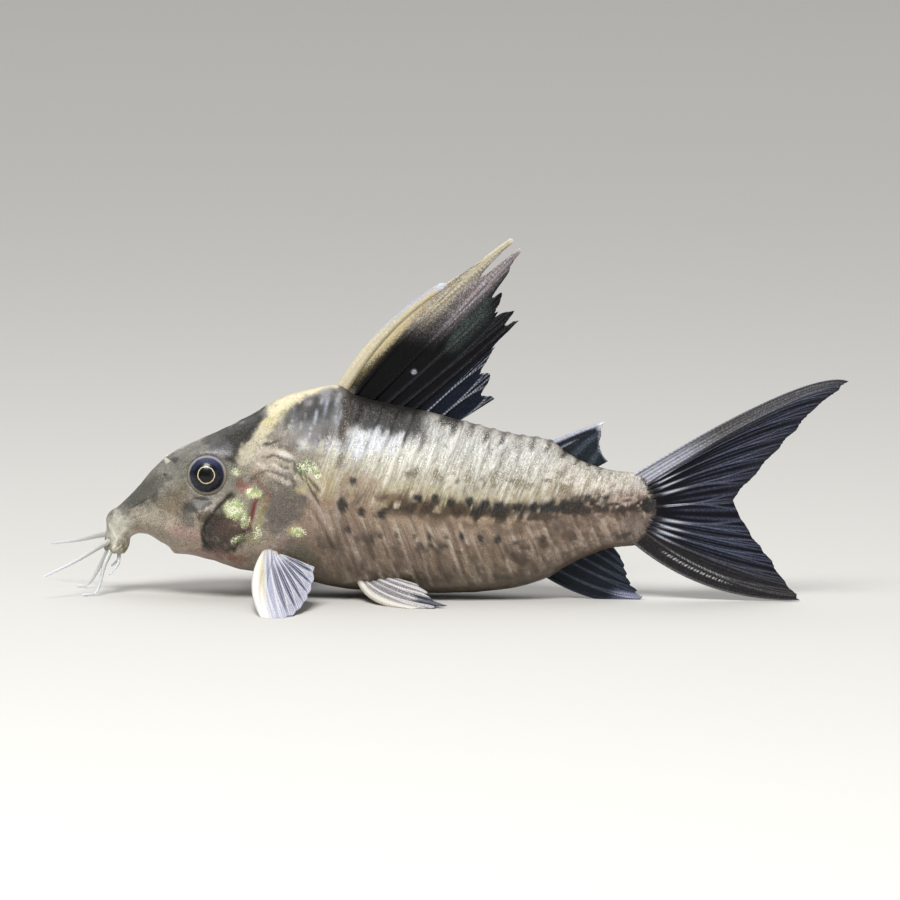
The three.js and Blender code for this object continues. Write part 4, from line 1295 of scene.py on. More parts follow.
@dataclass
class Fin:
    """A fin of ridged rays and thin membrane. Millimetres."""

    name: str
    rays: Sequence[Ray]
    notches: Sequence[float]
    tint: Callable[[FinSheet], np.ndarray]
    spine: float = 0.9
    ray_width: float = 0.26
    ray_height: float = 0.5
    membrane: float = 0.2
    branching: Branching = Branching.TWICE
    ragged: float = 0.03
    rows: int = 110
    fine: int = 24
    side: Side = Side.RIGHT
    seed: int = 1
    leans: tuple[float, ...] = ()

    def build(self) -> bpy.types.Object:
        """Lay the fin as a grid that runs over one face and back over the other."""
        return grid_piece(self.name, self.rows, 2 * self.fine * (len(self.rays) - 1), self.lay)

    def middle(self, along: np.ndarray, across: np.ndarray) -> np.ndarray:
        """Give the middle surface at shares along the rays and places across them.

        Args:
            along: Shares along the rays.
            across: Ray numbers, with parts between two rays.

        Returns:
            One place for each point.
        """
        first = np.clip(np.floor(across), 0, len(self.rays) - 2).astype(int)
        part = (across - first)[:, None]
        courses = np.stack([ray.points(along) for ray in self.rays])
        index = np.arange(len(along))
        sheet = courses[first, index] * (1 - part) + courses[first + 1, index] * part
        return sheet * np.array([1, self.side.value, 1])

    def reach(self, across: np.ndarray) -> np.ndarray:
        """Give how far out the membrane goes between the ray tips, frayed at its edge.

        Args:
            across: Ray numbers, with parts between two rays.

        Returns:
            Shares of the rays' length.
        """
        first = np.clip(np.floor(across), 0, len(self.rays) - 2).astype(int)
        part = across - first
        lean = np.array(self.leans or [1.0] * len(self.notches))[first]
        notch = np.array(self.notches)[first] * np.sin(math.pi * part**lean) ** 4
        place = np.stack([across * 9.0, np.zeros_like(across), np.zeros_like(across)], axis=1)
        fray = cloud(place, 1.0, self.seed) + 0.6 * cloud(place, 0.3, self.seed + 5)
        return 1 - notch - self.ragged * fray * np.minimum(1, 4 * part * (1 - part) + 0.06)

    def lay(self, along: np.ndarray, around: np.ndarray) -> Cloth:
        """Place both faces of the fin.

        Args:
            along: Shares from root to edge.
            around: Shares over one face and back over the other.

        Returns:
            The places, pattern coordinates and masks.
        """
        last = len(self.rays) - 1
        across = last * (1 - np.abs(1 - 2 * around))
        face = np.where(around < 0.5, 1.0, -1.0) * ((around > 0) & (around < 1) & (np.abs(around - 0.5) > 1e-9))
        share = along * self.reach(across)
        middle = self.middle(share, across)
        step = 0.01
        inner, outer = np.clip(share - step, 0, 1), np.clip(share + step, 0, 1)
        run = self.middle(outer, across) - self.middle(inner, across)
        before, after = np.clip(across - step, 0, last), np.clip(across + step, 0, last)
        width = after - before
        over = self.middle(share, after) - self.middle(share, before)
        normal = np.cross(over, run)
        normal = normal / np.maximum(np.linalg.norm(normal, axis=1, keepdims=True), 1e-9)
        gap = np.linalg.norm(over, axis=1) / width
        ridge, stout = self.ridges(share, across, gap)
        edge = np.minimum(across, last - across) * gap
        rounding = np.sqrt(np.clip(edge / 0.22, 0, 1)) * np.sqrt(np.clip((1 - along) * 18, 0, 1))
        rounding = rounding * np.sqrt(np.clip(along * 30, 0, 1))
        thick = (self.membrane + self.ray_height * (1 - 0.55 * share) * ridge + stout) * rounding
        places = middle + normal * (face * thick / 2)[:, None]
        length = np.linalg.norm(self.rays[0].points(np.ones(1)) - self.rays[0].points(np.zeros(1)))
        sheet = FinSheet(across, share, np.clip(ridge, 0, 1), middle)
        masks = {"tint": self.tint(sheet), "ray": sheet.ridge}
        places = np.hstack([places[:, :2], np.maximum(places[:, 2:], 0.0)])
        return Cloth(places, np.stack([share * length, across * 2.0], axis=1), masks)

    def ridges(self, share: np.ndarray, across: np.ndarray, gap: np.ndarray) -> tuple[np.ndarray, np.ndarray]:
        """Give the height of the rays' ridges, which split towards the edge, and of the stout first ray.

        Args:
            share: Shares of the way out.
            across: Ray numbers.
            gap: Millimetres between two rays.

        Returns:
            The ridges from 0 to 1, and the first ray's thickness in millimetres.
        """
        ray = np.round(across)
        off = (across - ray) * gap
        first = 0.2 * gap * ease(0.3, 1.0, share) * (self.branching.value >= 1) * (ray > 0)
        second = 0.1 * gap * ease(0.6, 1.0, share) * (self.branching.value >= 2) * (ray > 0)
        width = self.ray_width * (1 - 0.6 * share)
        ridge = np.zeros(len(share))
        for a in (-1, 1):
            for b in (-1, 1):
                ridge = np.maximum(ridge, hill(off - a * first - b * second, width))
        half = self.spine * 0.75 * (1 - 0.6 * share)
        bump = np.clip(1 - ((across * gap - half) / half) ** 2, 0, 1)
        return ridge, self.spine * (1 - 0.6 * share) * np.sqrt(bump)


DORSAL = Fin(
    "dorsal_sail",
    [
        Ray((-12.8, 21.6), (-0.6, 34.8), (-0.85, 1.0)), Ray((-11.4, 20.9), (7.1, 40.1), (-0.6, 0.7)),
        Ray((-9.6, 20.6), (8.0, 39.1), (0.1, -0.1)), Ray((-8.0, 20.4), (5.9, 34.0), (0.2, -0.2)),
        Ray((-6.5, 20.1), (7.3, 32.1), (0.1, -0.1)), Ray((-5.0, 19.8), (7.8, 31.0)),
        Ray((-3.5, 19.5), (4.9, 27.6)), Ray((-1.9, 19.1), (4.7, 24.9)), Ray((-0.3, 18.6), (5.2, 22.2)),
    ],
    [0.01, 0.17, 0.08, 0.06, 0.05, 0.09, 0.12, 0.16],
    dorsal_tint, spine=0.5, ray_width=0.22, ragged=0.06, fine=22, rows=130, seed=31,
    leans=(1.0, 1.0, 2.3, 1.0, 1.0, 1.0, 1.0, 1.0),
)
CAUDAL_UPPER = Fin(
    "tail_lobe_upper",
    [
        Ray((19.2, 13.0), (44.5, 24.7), (4.2, 3.8)), Ray((22.0, 12.9), (43.4, 23.7), (3.0, 2.8)),
        Ray((21.8, 12.5), (40.8, 21.6), (1.8, 1.8)), Ray((21.8, 12.1), (38.8, 19.2), (0.8, 1.0)),
        Ray((21.8, 11.6), (36.9, 17.1), (0, 0.4)), Ray((21.8, 11.1), (34.4, 14.2), (0, 0.3)),
        Ray((21.8, 10.05), (31.8, 11.1)),
    ],
    [0.004, 0.006, 0.008, 0.008, 0.008, 0.01],
    tail_upper_tint, spine=0.25, ray_height=0.42, ray_width=0.22, ragged=0.022, fine=26, rows=130, seed=37,
)
CAUDAL_LOWER = Fin(
    "tail_lobe_lower",
    [
        Ray((19.6, 7.3), (39.6, 0.15), (-0.8, -2.0)), Ray((22.2, 7.5), (39.2, 0.8), (-0.5, -1.25)),
        Ray((21.8, 8.0), (37.8, 2.3), (-0.2, -0.5)), Ray((21.8, 8.4), (36.3, 4.6), (0, -0.4)),
        Ray((21.8, 8.9), (35.0, 6.2), (0, -0.3)), Ray((21.8, 9.4), (33.7, 7.9), (0, -0.2)),
        Ray((21.8, 10.45), (31.8, 11.4)),
    ],
    [0.004, 0.006, 0.006, 0.006, 0.008, 0.01],
    tail_lower_tint, spine=0.25, ray_height=0.42, ray_width=0.22, ragged=0.014, fine=26, rows=130, seed=41,
)
ANAL = Fin(
    "anal_sail",
    [
        Ray((9.9, 3.1), (22.5, -0.1), (0.3, -1.45)), Ray((11.6, 3.9), (22.0, 0.3), (0.1, -0.9)),
        Ray((13.3, 4.6), (21.3, 1.1), (0, -0.4)), Ray((14.5, 5.2), (20.6, 1.9), (0, -0.2)),
        Ray((15.7, 5.8), (20.2, 2.9)), Ray((16.9, 6.3), (19.9, 3.9)), Ray((18.0, 6.7), (19.4, 4.9)),
    ],
    [0.02, 0.03, 0.04, 0.04, 0.04, 0.05],
    anal_tint, spine=0.4, ray_width=0.18, ray_height=0.4, ragged=0.025, fine=20, rows=90, seed=43,
)
ADIPOSE = Fin(
    "adipose_sail",
    [
        Ray((10.2, 16.9), (17.5, 19.85), (0, 0.2)), Ray((12.2, 15.4), (17.1, 18.3), (0, 0.2)),
        Ray((14.0, 14.6), (17.0, 16.8)), Ray((15.4, 14.0), (17.9, 15.4)),
    ],
    [0.03, 0.03, 0.03],
    adipose_tint, spine=0.45, ray_width=0.12, ray_height=0.05, ragged=0.02, fine=20, rows=60, seed=47,
    branching=Branching.NONE,
)
PECTORAL_RAYS = [
    Ray((-20.1, 5.0, 5.6), (-20.0, 20.8, -0.1), (-1.2, 0.3, 0.1)),
    Ray((-19.8, 5.1, 5.5), (-18.6, 21.4, -0.1), (-0.5, 0, 0.1)),
    Ray((-19.6, 5.2, 5.5), (-17.5, 21.0, -0.1), (-0.3, 0, 0)),
    Ray((-19.4, 5.3, 5.4), (-16.5, 19.4, 0.1), (-0.1, 0, 0)),
    Ray((-19.2, 5.4, 5.4), (-15.7, 17.3, 0.65)), Ray((-19.0, 5.5, 5.4), (-15.1, 15.0, 1.3)),
    Ray((-18.8, 5.5, 5.3), (-14.7, 13.0, 2.1)), Ray((-18.6, 5.6, 5.3), (-14.4, 11.2, 3.1)),
    Ray((-18.4, 5.7, 5.3), (-14.4, 9.6, 4.3)),
]
PELVIC_RAYS = [
    Ray((-10.0, 3.0, 2.6), (-3.9, 11.4, 0.0), (-1.2, 0.6, -0.6)),
    Ray((-9.6, 3.0, 2.7), (-1.2, 11.2, 0.1), (-0.9, 0.5, -0.5)),
    Ray((-9.2, 3.0, 2.8), (0.3, 10.5, 0.3), (-0.7, 0.4, -0.4)),
    Ray((-8.8, 3.0, 2.9), (-1.6, 9.2, 0.95), (-0.4, 0.3, -0.1)),
    Ray((-8.4, 3.0, 3.0), (-1.9, 7.9, 1.45), (-0.2, 0.2, 0)),
    Ray((-8.0, 3.0, 3.1), (-3.0, 6.6, 2.1), (0, 0.1, 0)),
]


def paired_fins(side: Side) -> list[tuple[Fin, str]]:
    """Give the breast and belly fin of one side, with the nodes that they stand for.

    Args:
        side: The side.

    Returns:
        Each fin with the name of its node.
    """
    breast = Fin(
        f"breast_fin_{side.word}", PECTORAL_RAYS,
        [0.0, 0.004, 0.006, 0.008, 0.01, 0.015, 0.02, 0.03], breast_tint,
        spine=1.0, ray_width=0.2, ray_height=0.36, ragged=0.012, fine=20, rows=90,
        side=side, seed=53 + side.value,
    )
    belly = Fin(
        f"belly_fin_{side.word}", PELVIC_RAYS, [0.01, 0.03, 0.04, 0.04, 0.05], belly_tint,
        spine=0.6, ray_width=0.2, ray_height=0.36, ragged=0.025, fine=22, rows=90,
        side=side, seed=59 + side.value,
    )
    return [(breast, f"pectoral_fin_{side.word}"), (belly, f"pelvic_fin_{side.word}")]


# Barbels, spines and nostril flaps


@dataclass
class Barbel:
    """A tapered feeler on a smooth curve through its points. Millimetres."""

    name: str
    side: Side
    points: Sequence[tuple[float, float, float]]
    root: float = 0.36
    tip: float = 0.1

    def build(self) -> bpy.types.Object:
        """Lay the feeler as a tube with closed, rounded ends."""
        return grid_piece(self.name, 60, 16, self.lay)

    def course(self, share: np.ndarray) -> np.ndarray:
        """Follow a smooth curve through the points.

        Args:
            share: Shares of its length.

        Returns:
            One place for each share.
        """
        points = np.array(self.points) * np.array([1, self.side.value, 1])
        runs = np.concatenate([[0], np.cumsum(np.linalg.norm(np.diff(points, axis=0), axis=1))])
        runs = runs / runs[-1]
        return np.stack([SmoothCurve(runs, points[:, axis])(share) for axis in range(3)], axis=1)

    def lay(self, along: np.ndarray, around: np.ndarray) -> Cloth:
        """Place the tube.

        Args:
            along: Shares from root to tip.
            around: Shares of a turn.

        Returns:
            The places, pattern coordinates and masks.
        """
        middle = self.course(along)
        run = self.course(np.clip(along + 0.01, 0, 1)) - self.course(np.clip(along - 0.01, 0, 1))
        run = run / np.linalg.norm(run, axis=1, keepdims=True)
        out = np.cross(run, np.array([0.3, 0.2, 1.0]))
        out = out / np.linalg.norm(out, axis=1, keepdims=True)
        over = np.cross(run, out)
        turn = 2 * math.pi * around
        radius = self.root + (self.tip - self.root) * along**0.8
        radius = radius * np.sqrt(np.clip((1 - along) * 25, 0, 1)) * np.sqrt(np.clip(along * 25, 0, 1))
        wave = 1 + 0.08 * np.sin(along * 70) * along
        circle = np.cos(turn)[:, None] * out + np.sin(turn)[:, None] * over
        places = middle + (radius * wave)[:, None] * circle
        places[:, 2] = np.maximum(places[:, 2], 0.0)
        return Cloth(places, np.stack([along * 8, around * 2], axis=1), {"out": along})


@dataclass
class Spine:
    """A stout, slightly flattened bony spine in front of a fin. Millimetres."""

    name: str
    ray: Ray
    width: float
    depth: float
    tip: float
    tint: Callable[[np.ndarray, np.ndarray], np.ndarray]

    def build(self) -> bpy.types.Object:
        """Lay the spine as a closed tapering tube."""
        return grid_piece(self.name, 90, 28, self.lay)

    def lay(self, along: np.ndarray, around: np.ndarray) -> Cloth:
        """Place the spine, broad across the fin's plane at its root and blunt at its tip.

        Args:
            along: Shares from root to tip.
            around: Shares of a turn.

        Returns:
            The places, pattern coordinates and masks.
        """
        middle = self.ray.points(along)
        run = self.ray.points(np.clip(along + 0.01, 0, 1)) - self.ray.points(np.clip(along - 0.01, 0, 1))
        run = run / np.linalg.norm(run, axis=1, keepdims=True)
        out = np.cross(run, np.array([0.0, 1.0, 0.0]))
        out = out / np.linalg.norm(out, axis=1, keepdims=True)
        over = np.cross(run, out)
        taper = (1 + (self.tip - 1) * along**1.3) * np.sqrt(np.clip((1 - along) * 30, 0, 1))
        taper = taper * np.sqrt(np.clip(along * 30, 0, 1))
        turn = 2 * math.pi * around
        across, through = np.cos(turn) * self.width / 2 * taper, np.sin(turn) * self.depth / 2 * taper
        places = middle + across[:, None] * out + through[:, None] * over
        groove = 0.05 * hill(np.abs(np.sin(turn)) - 1, 0.02) * taper
        places = places - (groove * np.sign(np.sin(turn)))[:, None] * over
        masks = {"tint": self.tint(along, np.cos(turn)), "ray": np.zeros(len(along))}
        return Cloth(places, np.stack([along * 20, around * 3], axis=1), masks)


def bone(base: str, front: str, rear: str, tip: str) -> Callable[[np.ndarray, np.ndarray], np.ndarray]:
    """Colour a spine by how far forward and how far out each point lies.

    Args:
        base: Its colour on the sides.
        front: The colour of its front edge further out.
        rear: The colour of its rear edge.
        tip: The colour of its end.

    Returns:
        A function of the share of the length and the lie to the front.
    """

    def tint(along: np.ndarray, forward: np.ndarray) -> np.ndarray:
        """Give the colours.

        Args:
            along: Shares of the length.
            forward: 1 at the front and -1 at the rear.

        Returns:
            The pigment.
        """
        coat = np.tile(np.array(srgb(base)), (len(along), 1))
        return lay_over(
            coat,
            (rear, 0.6 * ease(0.2, 0.8, -forward)),
            (front, 0.85 * ease(0.2, 0.7, forward) * ease(0.35, 0.75, along)),
            (tip, 0.9 * ease(0.9, 0.98, along)),
        )

    return tint


BARBELS = {
    "barbel_maxillary_left": Barbel(
        "feeler_upper_left", Side.LEFT,
        [(-37.2, 1.5, 6.0), (-38.6, 3.0, 5.3), (-41.0, 5.3, 4.0), (-44.45, 8.0, 2.5)],
    ),
    "barbel_maxillary_right": Barbel(
        "feeler_upper_right", Side.RIGHT,
        [(-37.2, 1.5, 6.4), (-38.6, 3.0, 6.0), (-41.0, 5.3, 5.2), (-44.3, 8.0, 4.4)],
    ),
    "barbel_outer_mental_left": Barbel(
        "feeler_lower_left", Side.LEFT,
        [(-37.0, 1.3, 5.3), (-37.9, 2.6, 3.1), (-38.4, 3.3, 1.0), (-38.9, 3.7, 0.25), (-40.3, 4.4, 0.17)],
    ),
    "barbel_outer_mental_right": Barbel(
        "feeler_lower_right", Side.RIGHT,
        [(-37.2, 1.3, 5.3), (-38.4, 2.7, 2.9), (-39.6, 3.4, 0.8), (-40.3, 3.7, 0.25), (-41.3, 4.1, 0.17)],
    ),
    "barbel_inner_mental_left": Barbel(
        "feeler_short_left", Side.LEFT,
        [(-36.3, 0.9, 5.2), (-36.3, 1.6, 3.6), (-36.7, 2.1, 2.9), (-37.3, 2.3, 2.2)], 0.28, 0.1,
    ),
    "barbel_inner_mental_right": Barbel(
        "feeler_short_right", Side.RIGHT,
        [(-36.3, 0.9, 5.2), (-36.4, 1.6, 3.6), (-36.8, 2.1, 3.1), (-37.3, 2.4, 2.6)], 0.28, 0.1,
    ),
}


@dataclass
class NostrilFlap:
    """The small leaf of skin that stands by a nostril. Millimetres, for the right side."""

    place: tuple[float, float, float] = (-30.9, 1.7, 14.75)
    lean: tuple[float, float, float] = (-0.62, 0.2, 0.8)
    radius: float = 0.4
    thinness: float = 0.3
    height: float = 1.3

    def build(self, side: Side) -> bpy.types.Object:
        """Flatten and bend a ball into a leaf and stand it by the nostril.

        Args:
            side: The side that it stands on.

        Returns:
            The flap.
        """
        bm = bmesh.new()
        bmesh.ops.create_uvsphere(bm, u_segments=24, v_segments=16, radius=self.radius)
        for vert in bm.verts:
            lift = vert.co.z + self.radius
            vert.co.y *= self.thinness
            vert.co.x *= 1.1 - 0.7 * lift
            vert.co.z = self.height * lift - self.radius
            vert.co.y += 0.12 * lift * lift
        lean = Vector((self.lean[0], side.value * self.lean[1], self.lean[2]))
        turn = Vector((0, 0, 1)).rotation_difference(lean).to_matrix()
        bmesh.ops.rotate(bm, verts=bm.verts, matrix=turn)
        bmesh.ops.translate(bm, verts=bm.verts, vec=(self.place[0], side.value * self.place[1], self.place[2]))
        bmesh.ops.scale(bm, verts=bm.verts, vec=(MM, MM, MM))
        return finish_mesh(f"nostril_flap_{side.word}", bm)


# Finishes

TIMES = {"operation": "MULTIPLY"}
SMOOTH = {"interpolation_type": "SMOOTHSTEP"}
COLOURS = {"data_type": "RGBA"}


class Finish:
    """A node material under construction."""

    def __init__(self, name: str) -> None:
        """Start a material with its shader.

        Args:
            name: What the real material is.
        """
        self.material = bpy.data.materials.new(name)
        self.material.use_nodes = True
        self.tree = self.material.node_tree
        self.tree.nodes.clear()
        self.shader = self.add("BsdfPrincipled")
        self.add("OutputMaterial", self.shader)

    def add(self, kind: str, *inputs: object, **settings: object) -> bpy.types.Node:
        """Add a node with its settings and links.

        Args:
            kind: The node's type, after the words that all of them start with.
            inputs: What the sockets in use take, in their order, or None to leave one as it is.
            settings: Attributes of the node itself.

        Returns:
            The node.
        """
        node = self.tree.nodes.new(f"ShaderNode{kind}")
        for key, value in settings.items():
            setattr(node, key, value)
        for socket, value in zip([socket for socket in node.inputs if socket.enabled], inputs):
            self.feed(socket, value)
        return node

    def feed(self, socket: bpy.types.NodeSocket, value: object) -> None:
        """Give a socket what it takes.

        Args:
            socket: The socket.
            value: A node whose first output is meant, another socket, a hex colour or a plain value.
        """
        if isinstance(value, bpy.types.Node):
            value = next(output for output in value.outputs if output.enabled)
        if isinstance(value, bpy.types.NodeSocket):
            self.tree.links.new(value, socket)
        elif value is not None:
            socket.default_value = (*srgb(value), 1) if isinstance(value, str) else value

    def shade(self, **values: object) -> bpy.types.Material:
        """Feed the shader's own sockets, which are named with underscores for spaces.

        Args:
            values: What each socket takes.

        Returns:
            The material.
        """
        for name, value in values.items():
            self.feed(self.shader.inputs[name.replace("_", " ")], value)
        return self.material


@dataclass(frozen=True)
class WetSkin:
    """Living fish skin over bony plates: thin, wet and a little translucent.

    The grains stand for pigment cells, which are finer than this in life. They are drawn coarser, so that
    they show.
    """

    grain: float = 0.13
    fleck: float = 0.15
    clot: float = 0.5
    patch: float = 1.4
    streak: tuple[float, float, float] = (6.0, 0.7, 1.0)
    relief: float = 0.09

    def material(self) -> bpy.types.Material:
        """Build the finish.

        Returns:
            The material.
        """
        finish = Finish("wet_fish_skin")
        add = finish.add
        place = add("TexCoord").outputs["Object"]
        pigment = add("Attribute", attribute_name="pigment").outputs["Color"]
        plated, speckle, silver, gleam = (
            add("Attribute", attribute_name=mask).outputs["Fac"]
            for mask in ("plated", "speckle", "silver", "gleam")
        )
        grains, flecks, clots, patches = (
            add("TexNoise", place, 1 / (size * MM), detail)
            for size, detail in ((self.grain, 1.5), (self.fleck, 1.0), (self.clot, 2.0), (self.patch, 3.0))
        )
        laid = add("Mapping", add("UVMap", uv_map="Lie"), None, None, self.streak)
        streaks = add("TexNoise", laid, 1.0, 3.0)
        lit = add("MapRange", add("RGBToBW", pigment), 0.03, 0.3, **SMOOTH)
        shining = add("Math", add("Math", silver, 0.28, **TIMES), 0.12)
        crowded = add("Math", speckle, add("MapRange", patches, 0.3, 0.55, **SMOOTH), **TIMES)
        pale = add("Math", add("Math", lit, 0.18, **TIMES), 0.09)
        coat = pigment
        # Stains and pale clots, the plates' light and dark streaks, then dark and pale grains
        for colour, pattern, low, high, share in (
            ("4b4238", clots, 0.56, 0.72, 0.3),
            ("e2dccb", clots, 0.44, 0.3, add("Math", lit, 0.22, **TIMES)),
            ("efebe2", streaks, 0.52, 0.66, add("Math", plated, add("Math", shining, lit, **TIMES), **TIMES)),
            ("5d4e42", streaks, 0.48, 0.34, add("Math", plated, 0.36, **TIMES)),
            ("37332d", grains, 0.53, 0.63, add("Math", crowded, 0.5, **TIMES)),
            ("d6d1c0", grains, 0.46, 0.36, add("Math", speckle, pale, **TIMES)),
        ):
            amount = add("Math", add("MapRange", pattern, low, high, **SMOOTH), share, **TIMES)
            coat = add("Mix", amount, coat, colour, **COLOURS)
        # Green and cream sparks on the gill cover, silver ones on the upper plates
        bright = add("MapRange", add("Math", flecks, add("Math", gleam, 0.22, **TIMES)), 0.6, 0.68, **SMOOTH)
        spark = add("Math", bright, add("MapRange", gleam, 0.02, 0.25, **SMOOTH), **TIMES)
        hue = add("Mix", add("MapRange", clots, 0.42, 0.58, **SMOOTH), "f6f5dc", "b4c58c", **COLOURS)
        coat = add("Mix", add("Math", spark, 0.9, **TIMES), coat, hue, **COLOURS)
        glint = add("MapRange", flecks, 0.54, 0.66, **SMOOTH)
        shine = add("Math", glint, add("Math", silver, 0.45, **TIMES), **TIMES)
        rough = add("Math", add("Math", grains, 0.6, **TIMES), add("Math", streaks, 0.6, **TIMES))
        # A wet film gives broad soft lights, and a little light comes back from under the skin
        return finish.shade(
            Base_Color=add("Mix", shine, coat, "f4f4ee", **COLOURS),
            Metallic=add("Math", add("Math", spark, 0.35, **TIMES), add("Math", shine, 0.5, **TIMES)),
            Roughness=add("Math", add("Math", patches, 0.25, **TIMES), 0.32),
            Normal=add("Bump", 0.6, self.relief * MM, None, add("Math", rough, clots)),
            IOR=1.4, Subsurface_Weight=0.08, Subsurface_Scale=0.0006, Subsurface_Radius=(1.0, 0.45, 0.3),
            Coat_Weight=0.18, Coat_Roughness=0.2,
        )


@dataclass(frozen=True)
class WetEye:
    """A fish's cornea over its iris: black pupil in a thin gold ring, blue-black iris and a pale outer ring."""

    radius: float
    fibre: float = 0.13
    uneven: float = 0.45
    rings: tuple[tuple[float, str], ...] = (
        (0.0, "030304"), (0.343, "040405"), (0.362, "e9dfc2"), (0.382, "c9b98f"),
        (0.4, "08090d"), (0.55, "0b0c12"), (0.66, "12151f"), (0.73, "0d0e14"),
        (0.765, "5f5e68"), (0.81, "a39d90"), (0.87, "8b8272"), (1.0, "4a443a"),
    )

    def material(self) -> bpy.types.Material:
        """Build the finish.

        Returns:
            The material.
        """
        finish = Finish("wet_eye")
        add = finish.add
        place = add("TexCoord").outputs["Object"]
        ring, up = (add("Attribute", attribute_name=mask).outputs["Fac"] for mask in ("ring", "up"))
        uneven, fibres = (add("TexNoise", place, 1 / (size * MM), 2.0) for size in (self.uneven, self.fibre))
        wobble = add("Math", add("Math", uneven, 0.5, operation="SUBTRACT"), 0.06, **TIMES)
        out = add("Math", add("Math", ring, self.radius, operation="DIVIDE"), wobble)
        coat = add("ValToRGB", out)
        stops = coat.color_ramp.elements
        while len(stops) < len(self.rings):
            stops.new(0.5)
        for stop, (distance, colour) in zip(stops, self.rings):
            stop.position = distance
            stop.color = (*srgb(colour), 1)
        iris, rim = (
            add("Math", first, second, **TIMES)
            for first, second in (
                (add("MapRange", out, 0.47, 0.6, **SMOOTH), add("MapRange", out, 0.76, 0.7, **SMOOTH)),
                (add("MapRange", up, 0.2, 0.8, **SMOOTH), add("MapRange", out, 0.74, 0.8, **SMOOTH)),
            )
        )
        # Painted sheen: the iris is lightened towards blue at its top
        top_sheen = add("Math", add("MapRange", up, 0.1, 0.75, **SMOOTH), iris, **TIMES)
        thread = add("MapRange", fibres, 0.52, 0.7, **SMOOTH)
        for colour, share, strength in (
            ("434a6c", top_sheen, 0.4), ("59618e", thread, add("Math", iris, 0.35, **TIMES)), ("8b86a2", rim, 0.6),
        ):
            coat = add("Mix", add("Math", share, strength, **TIMES), coat, colour, **COLOURS)
        # Clear wet tissue: dark and deep, with one small soft light
        return finish.shade(Base_Color=coat, Roughness=0.3, IOR=1.33, Coat_Weight=0.3, Coat_Roughness=0.1)


@dataclass(frozen=True)
class FinSkin:
    """A thin wet fin: jointed bony rays under clear skin, with membrane between them.

    Real joints are finer than these, which are drawn coarser so that they show.
    """

    name: str
    joint: float = 0.34
    grain_size: float = 0.15
    grain: float = 0.5
    pale: str = "c9ccd6"
    dark: str = "08090d"

    def material(self) -> bpy.types.Material:
        """Build the finish.

        Returns:
            The material.
        """
        finish = Finish(self.name)
        add = finish.add
        place = add("TexCoord").outputs["Object"]
        tint = add("Attribute", attribute_name="tint").outputs["Color"]
        ray = add("MapRange", add("Attribute", attribute_name="ray").outputs["Fac"], 0.3, 0.8, **SMOOTH)
        along = add("SeparateXYZ", add("UVMap", uv_map="Lie"))
        wave = add("Math", add("Math", along, 2 * math.pi / self.joint, **TIMES), operation="SINE")
        joints = add("Math", add("MapRange", wave, -0.2, 0.8, **SMOOTH), ray, **TIMES)
        grains = add("TexNoise", place, 1 / (self.grain_size * MM), 1.5)
        light = add("RGBToBW", tint)
        bright = add("Math", add("Math", light, 2.4 * self.grain, **TIMES), 0.4, operation="MINIMUM")
        dark_grains = add("MapRange", grains, 0.5, 0.66, **SMOOTH)
        specks = add("Math", dark_grains, add("MapRange", light, 0.75, 0.1, **SMOOTH), **TIMES)
        coat = tint
        for colour, share, strength in (
            (self.dark, specks, 0.6 * self.grain),
            (self.pale, add("MapRange", grains, 0.46, 0.34, **SMOOTH), bright),
            (self.dark, joints, 0.3),
        ):
            coat = add("Mix", add("Math", share, strength, **TIMES), coat, colour, **COLOURS)
        # Thin wet skin over bone: soft lights along the rays, and the web a little translucent
        return finish.shade(
            Base_Color=coat, Roughness=0.38, IOR=1.33, Specular_IOR_Level=0.22,
            Normal=add("Bump", 0.5, 0.06 * MM, None, add("Math", joints, grains)),
            Subsurface_Weight=0.06, Subsurface_Scale=0.0004,
        )


@dataclass(frozen=True)
class FeelerSkin:
    """Soft barbel skin, whitish grey, paler towards the tip."""

    speck: float = 0.15

    def material(self) -> bpy.types.Material:
        """Build the finish.

        Returns:
            The material.
        """
        finish = Finish("soft_feeler_skin")
        add = finish.add
        out = add("Attribute", attribute_name="out").outputs["Fac"]
        grains = add("TexNoise", add("TexCoord").outputs["Object"], 1 / (self.speck * MM), 1.0)
        specks = add("Math", add("MapRange", grains, 0.58, 0.72, **SMOOTH), 0.3, **TIMES)
        coat = add("Mix", specks, add("Mix", out, "b6b6ae", "dde2e6", **COLOURS), "8d8a7c", **COLOURS)
        # Soft and moist, so it looks a little translucent, with a thin line of light
        return finish.shade(
            Base_Color=coat, Roughness=0.32, IOR=1.4, Subsurface_Weight=0.1, Subsurface_Scale=0.0004,
            Coat_Weight=0.3, Coat_Roughness=0.15,
        )


@dataclass(frozen=True)
class FlapSkin:
    """The thin pale skin of a nostril's flap."""

    patch: float = 0.3

    def material(self) -> bpy.types.Material:
        """Build the finish.

        Returns:
            The material.
        """
        finish = Finish("pale_flap_skin")
        patches = finish.add("TexNoise", finish.add("TexCoord").outputs["Object"], 1 / (self.patch * MM), 2.0)
        coat = finish.add("Mix", patches, "dddbd2", "b5b2a6", **COLOURS)
        # Thin enough for light to come through, so it reads as a pale edge
        return finish.shade(
            Base_Color=coat, Roughness=0.4, IOR=1.4, Subsurface_Weight=0.2, Subsurface_Scale=0.0005
        )


# The studio


@dataclass(frozen=True)
class Lamp:
    """A square soft light. Metres and watts."""

    name: str
    place: tuple[float, float, float]
    size: float
    power: float


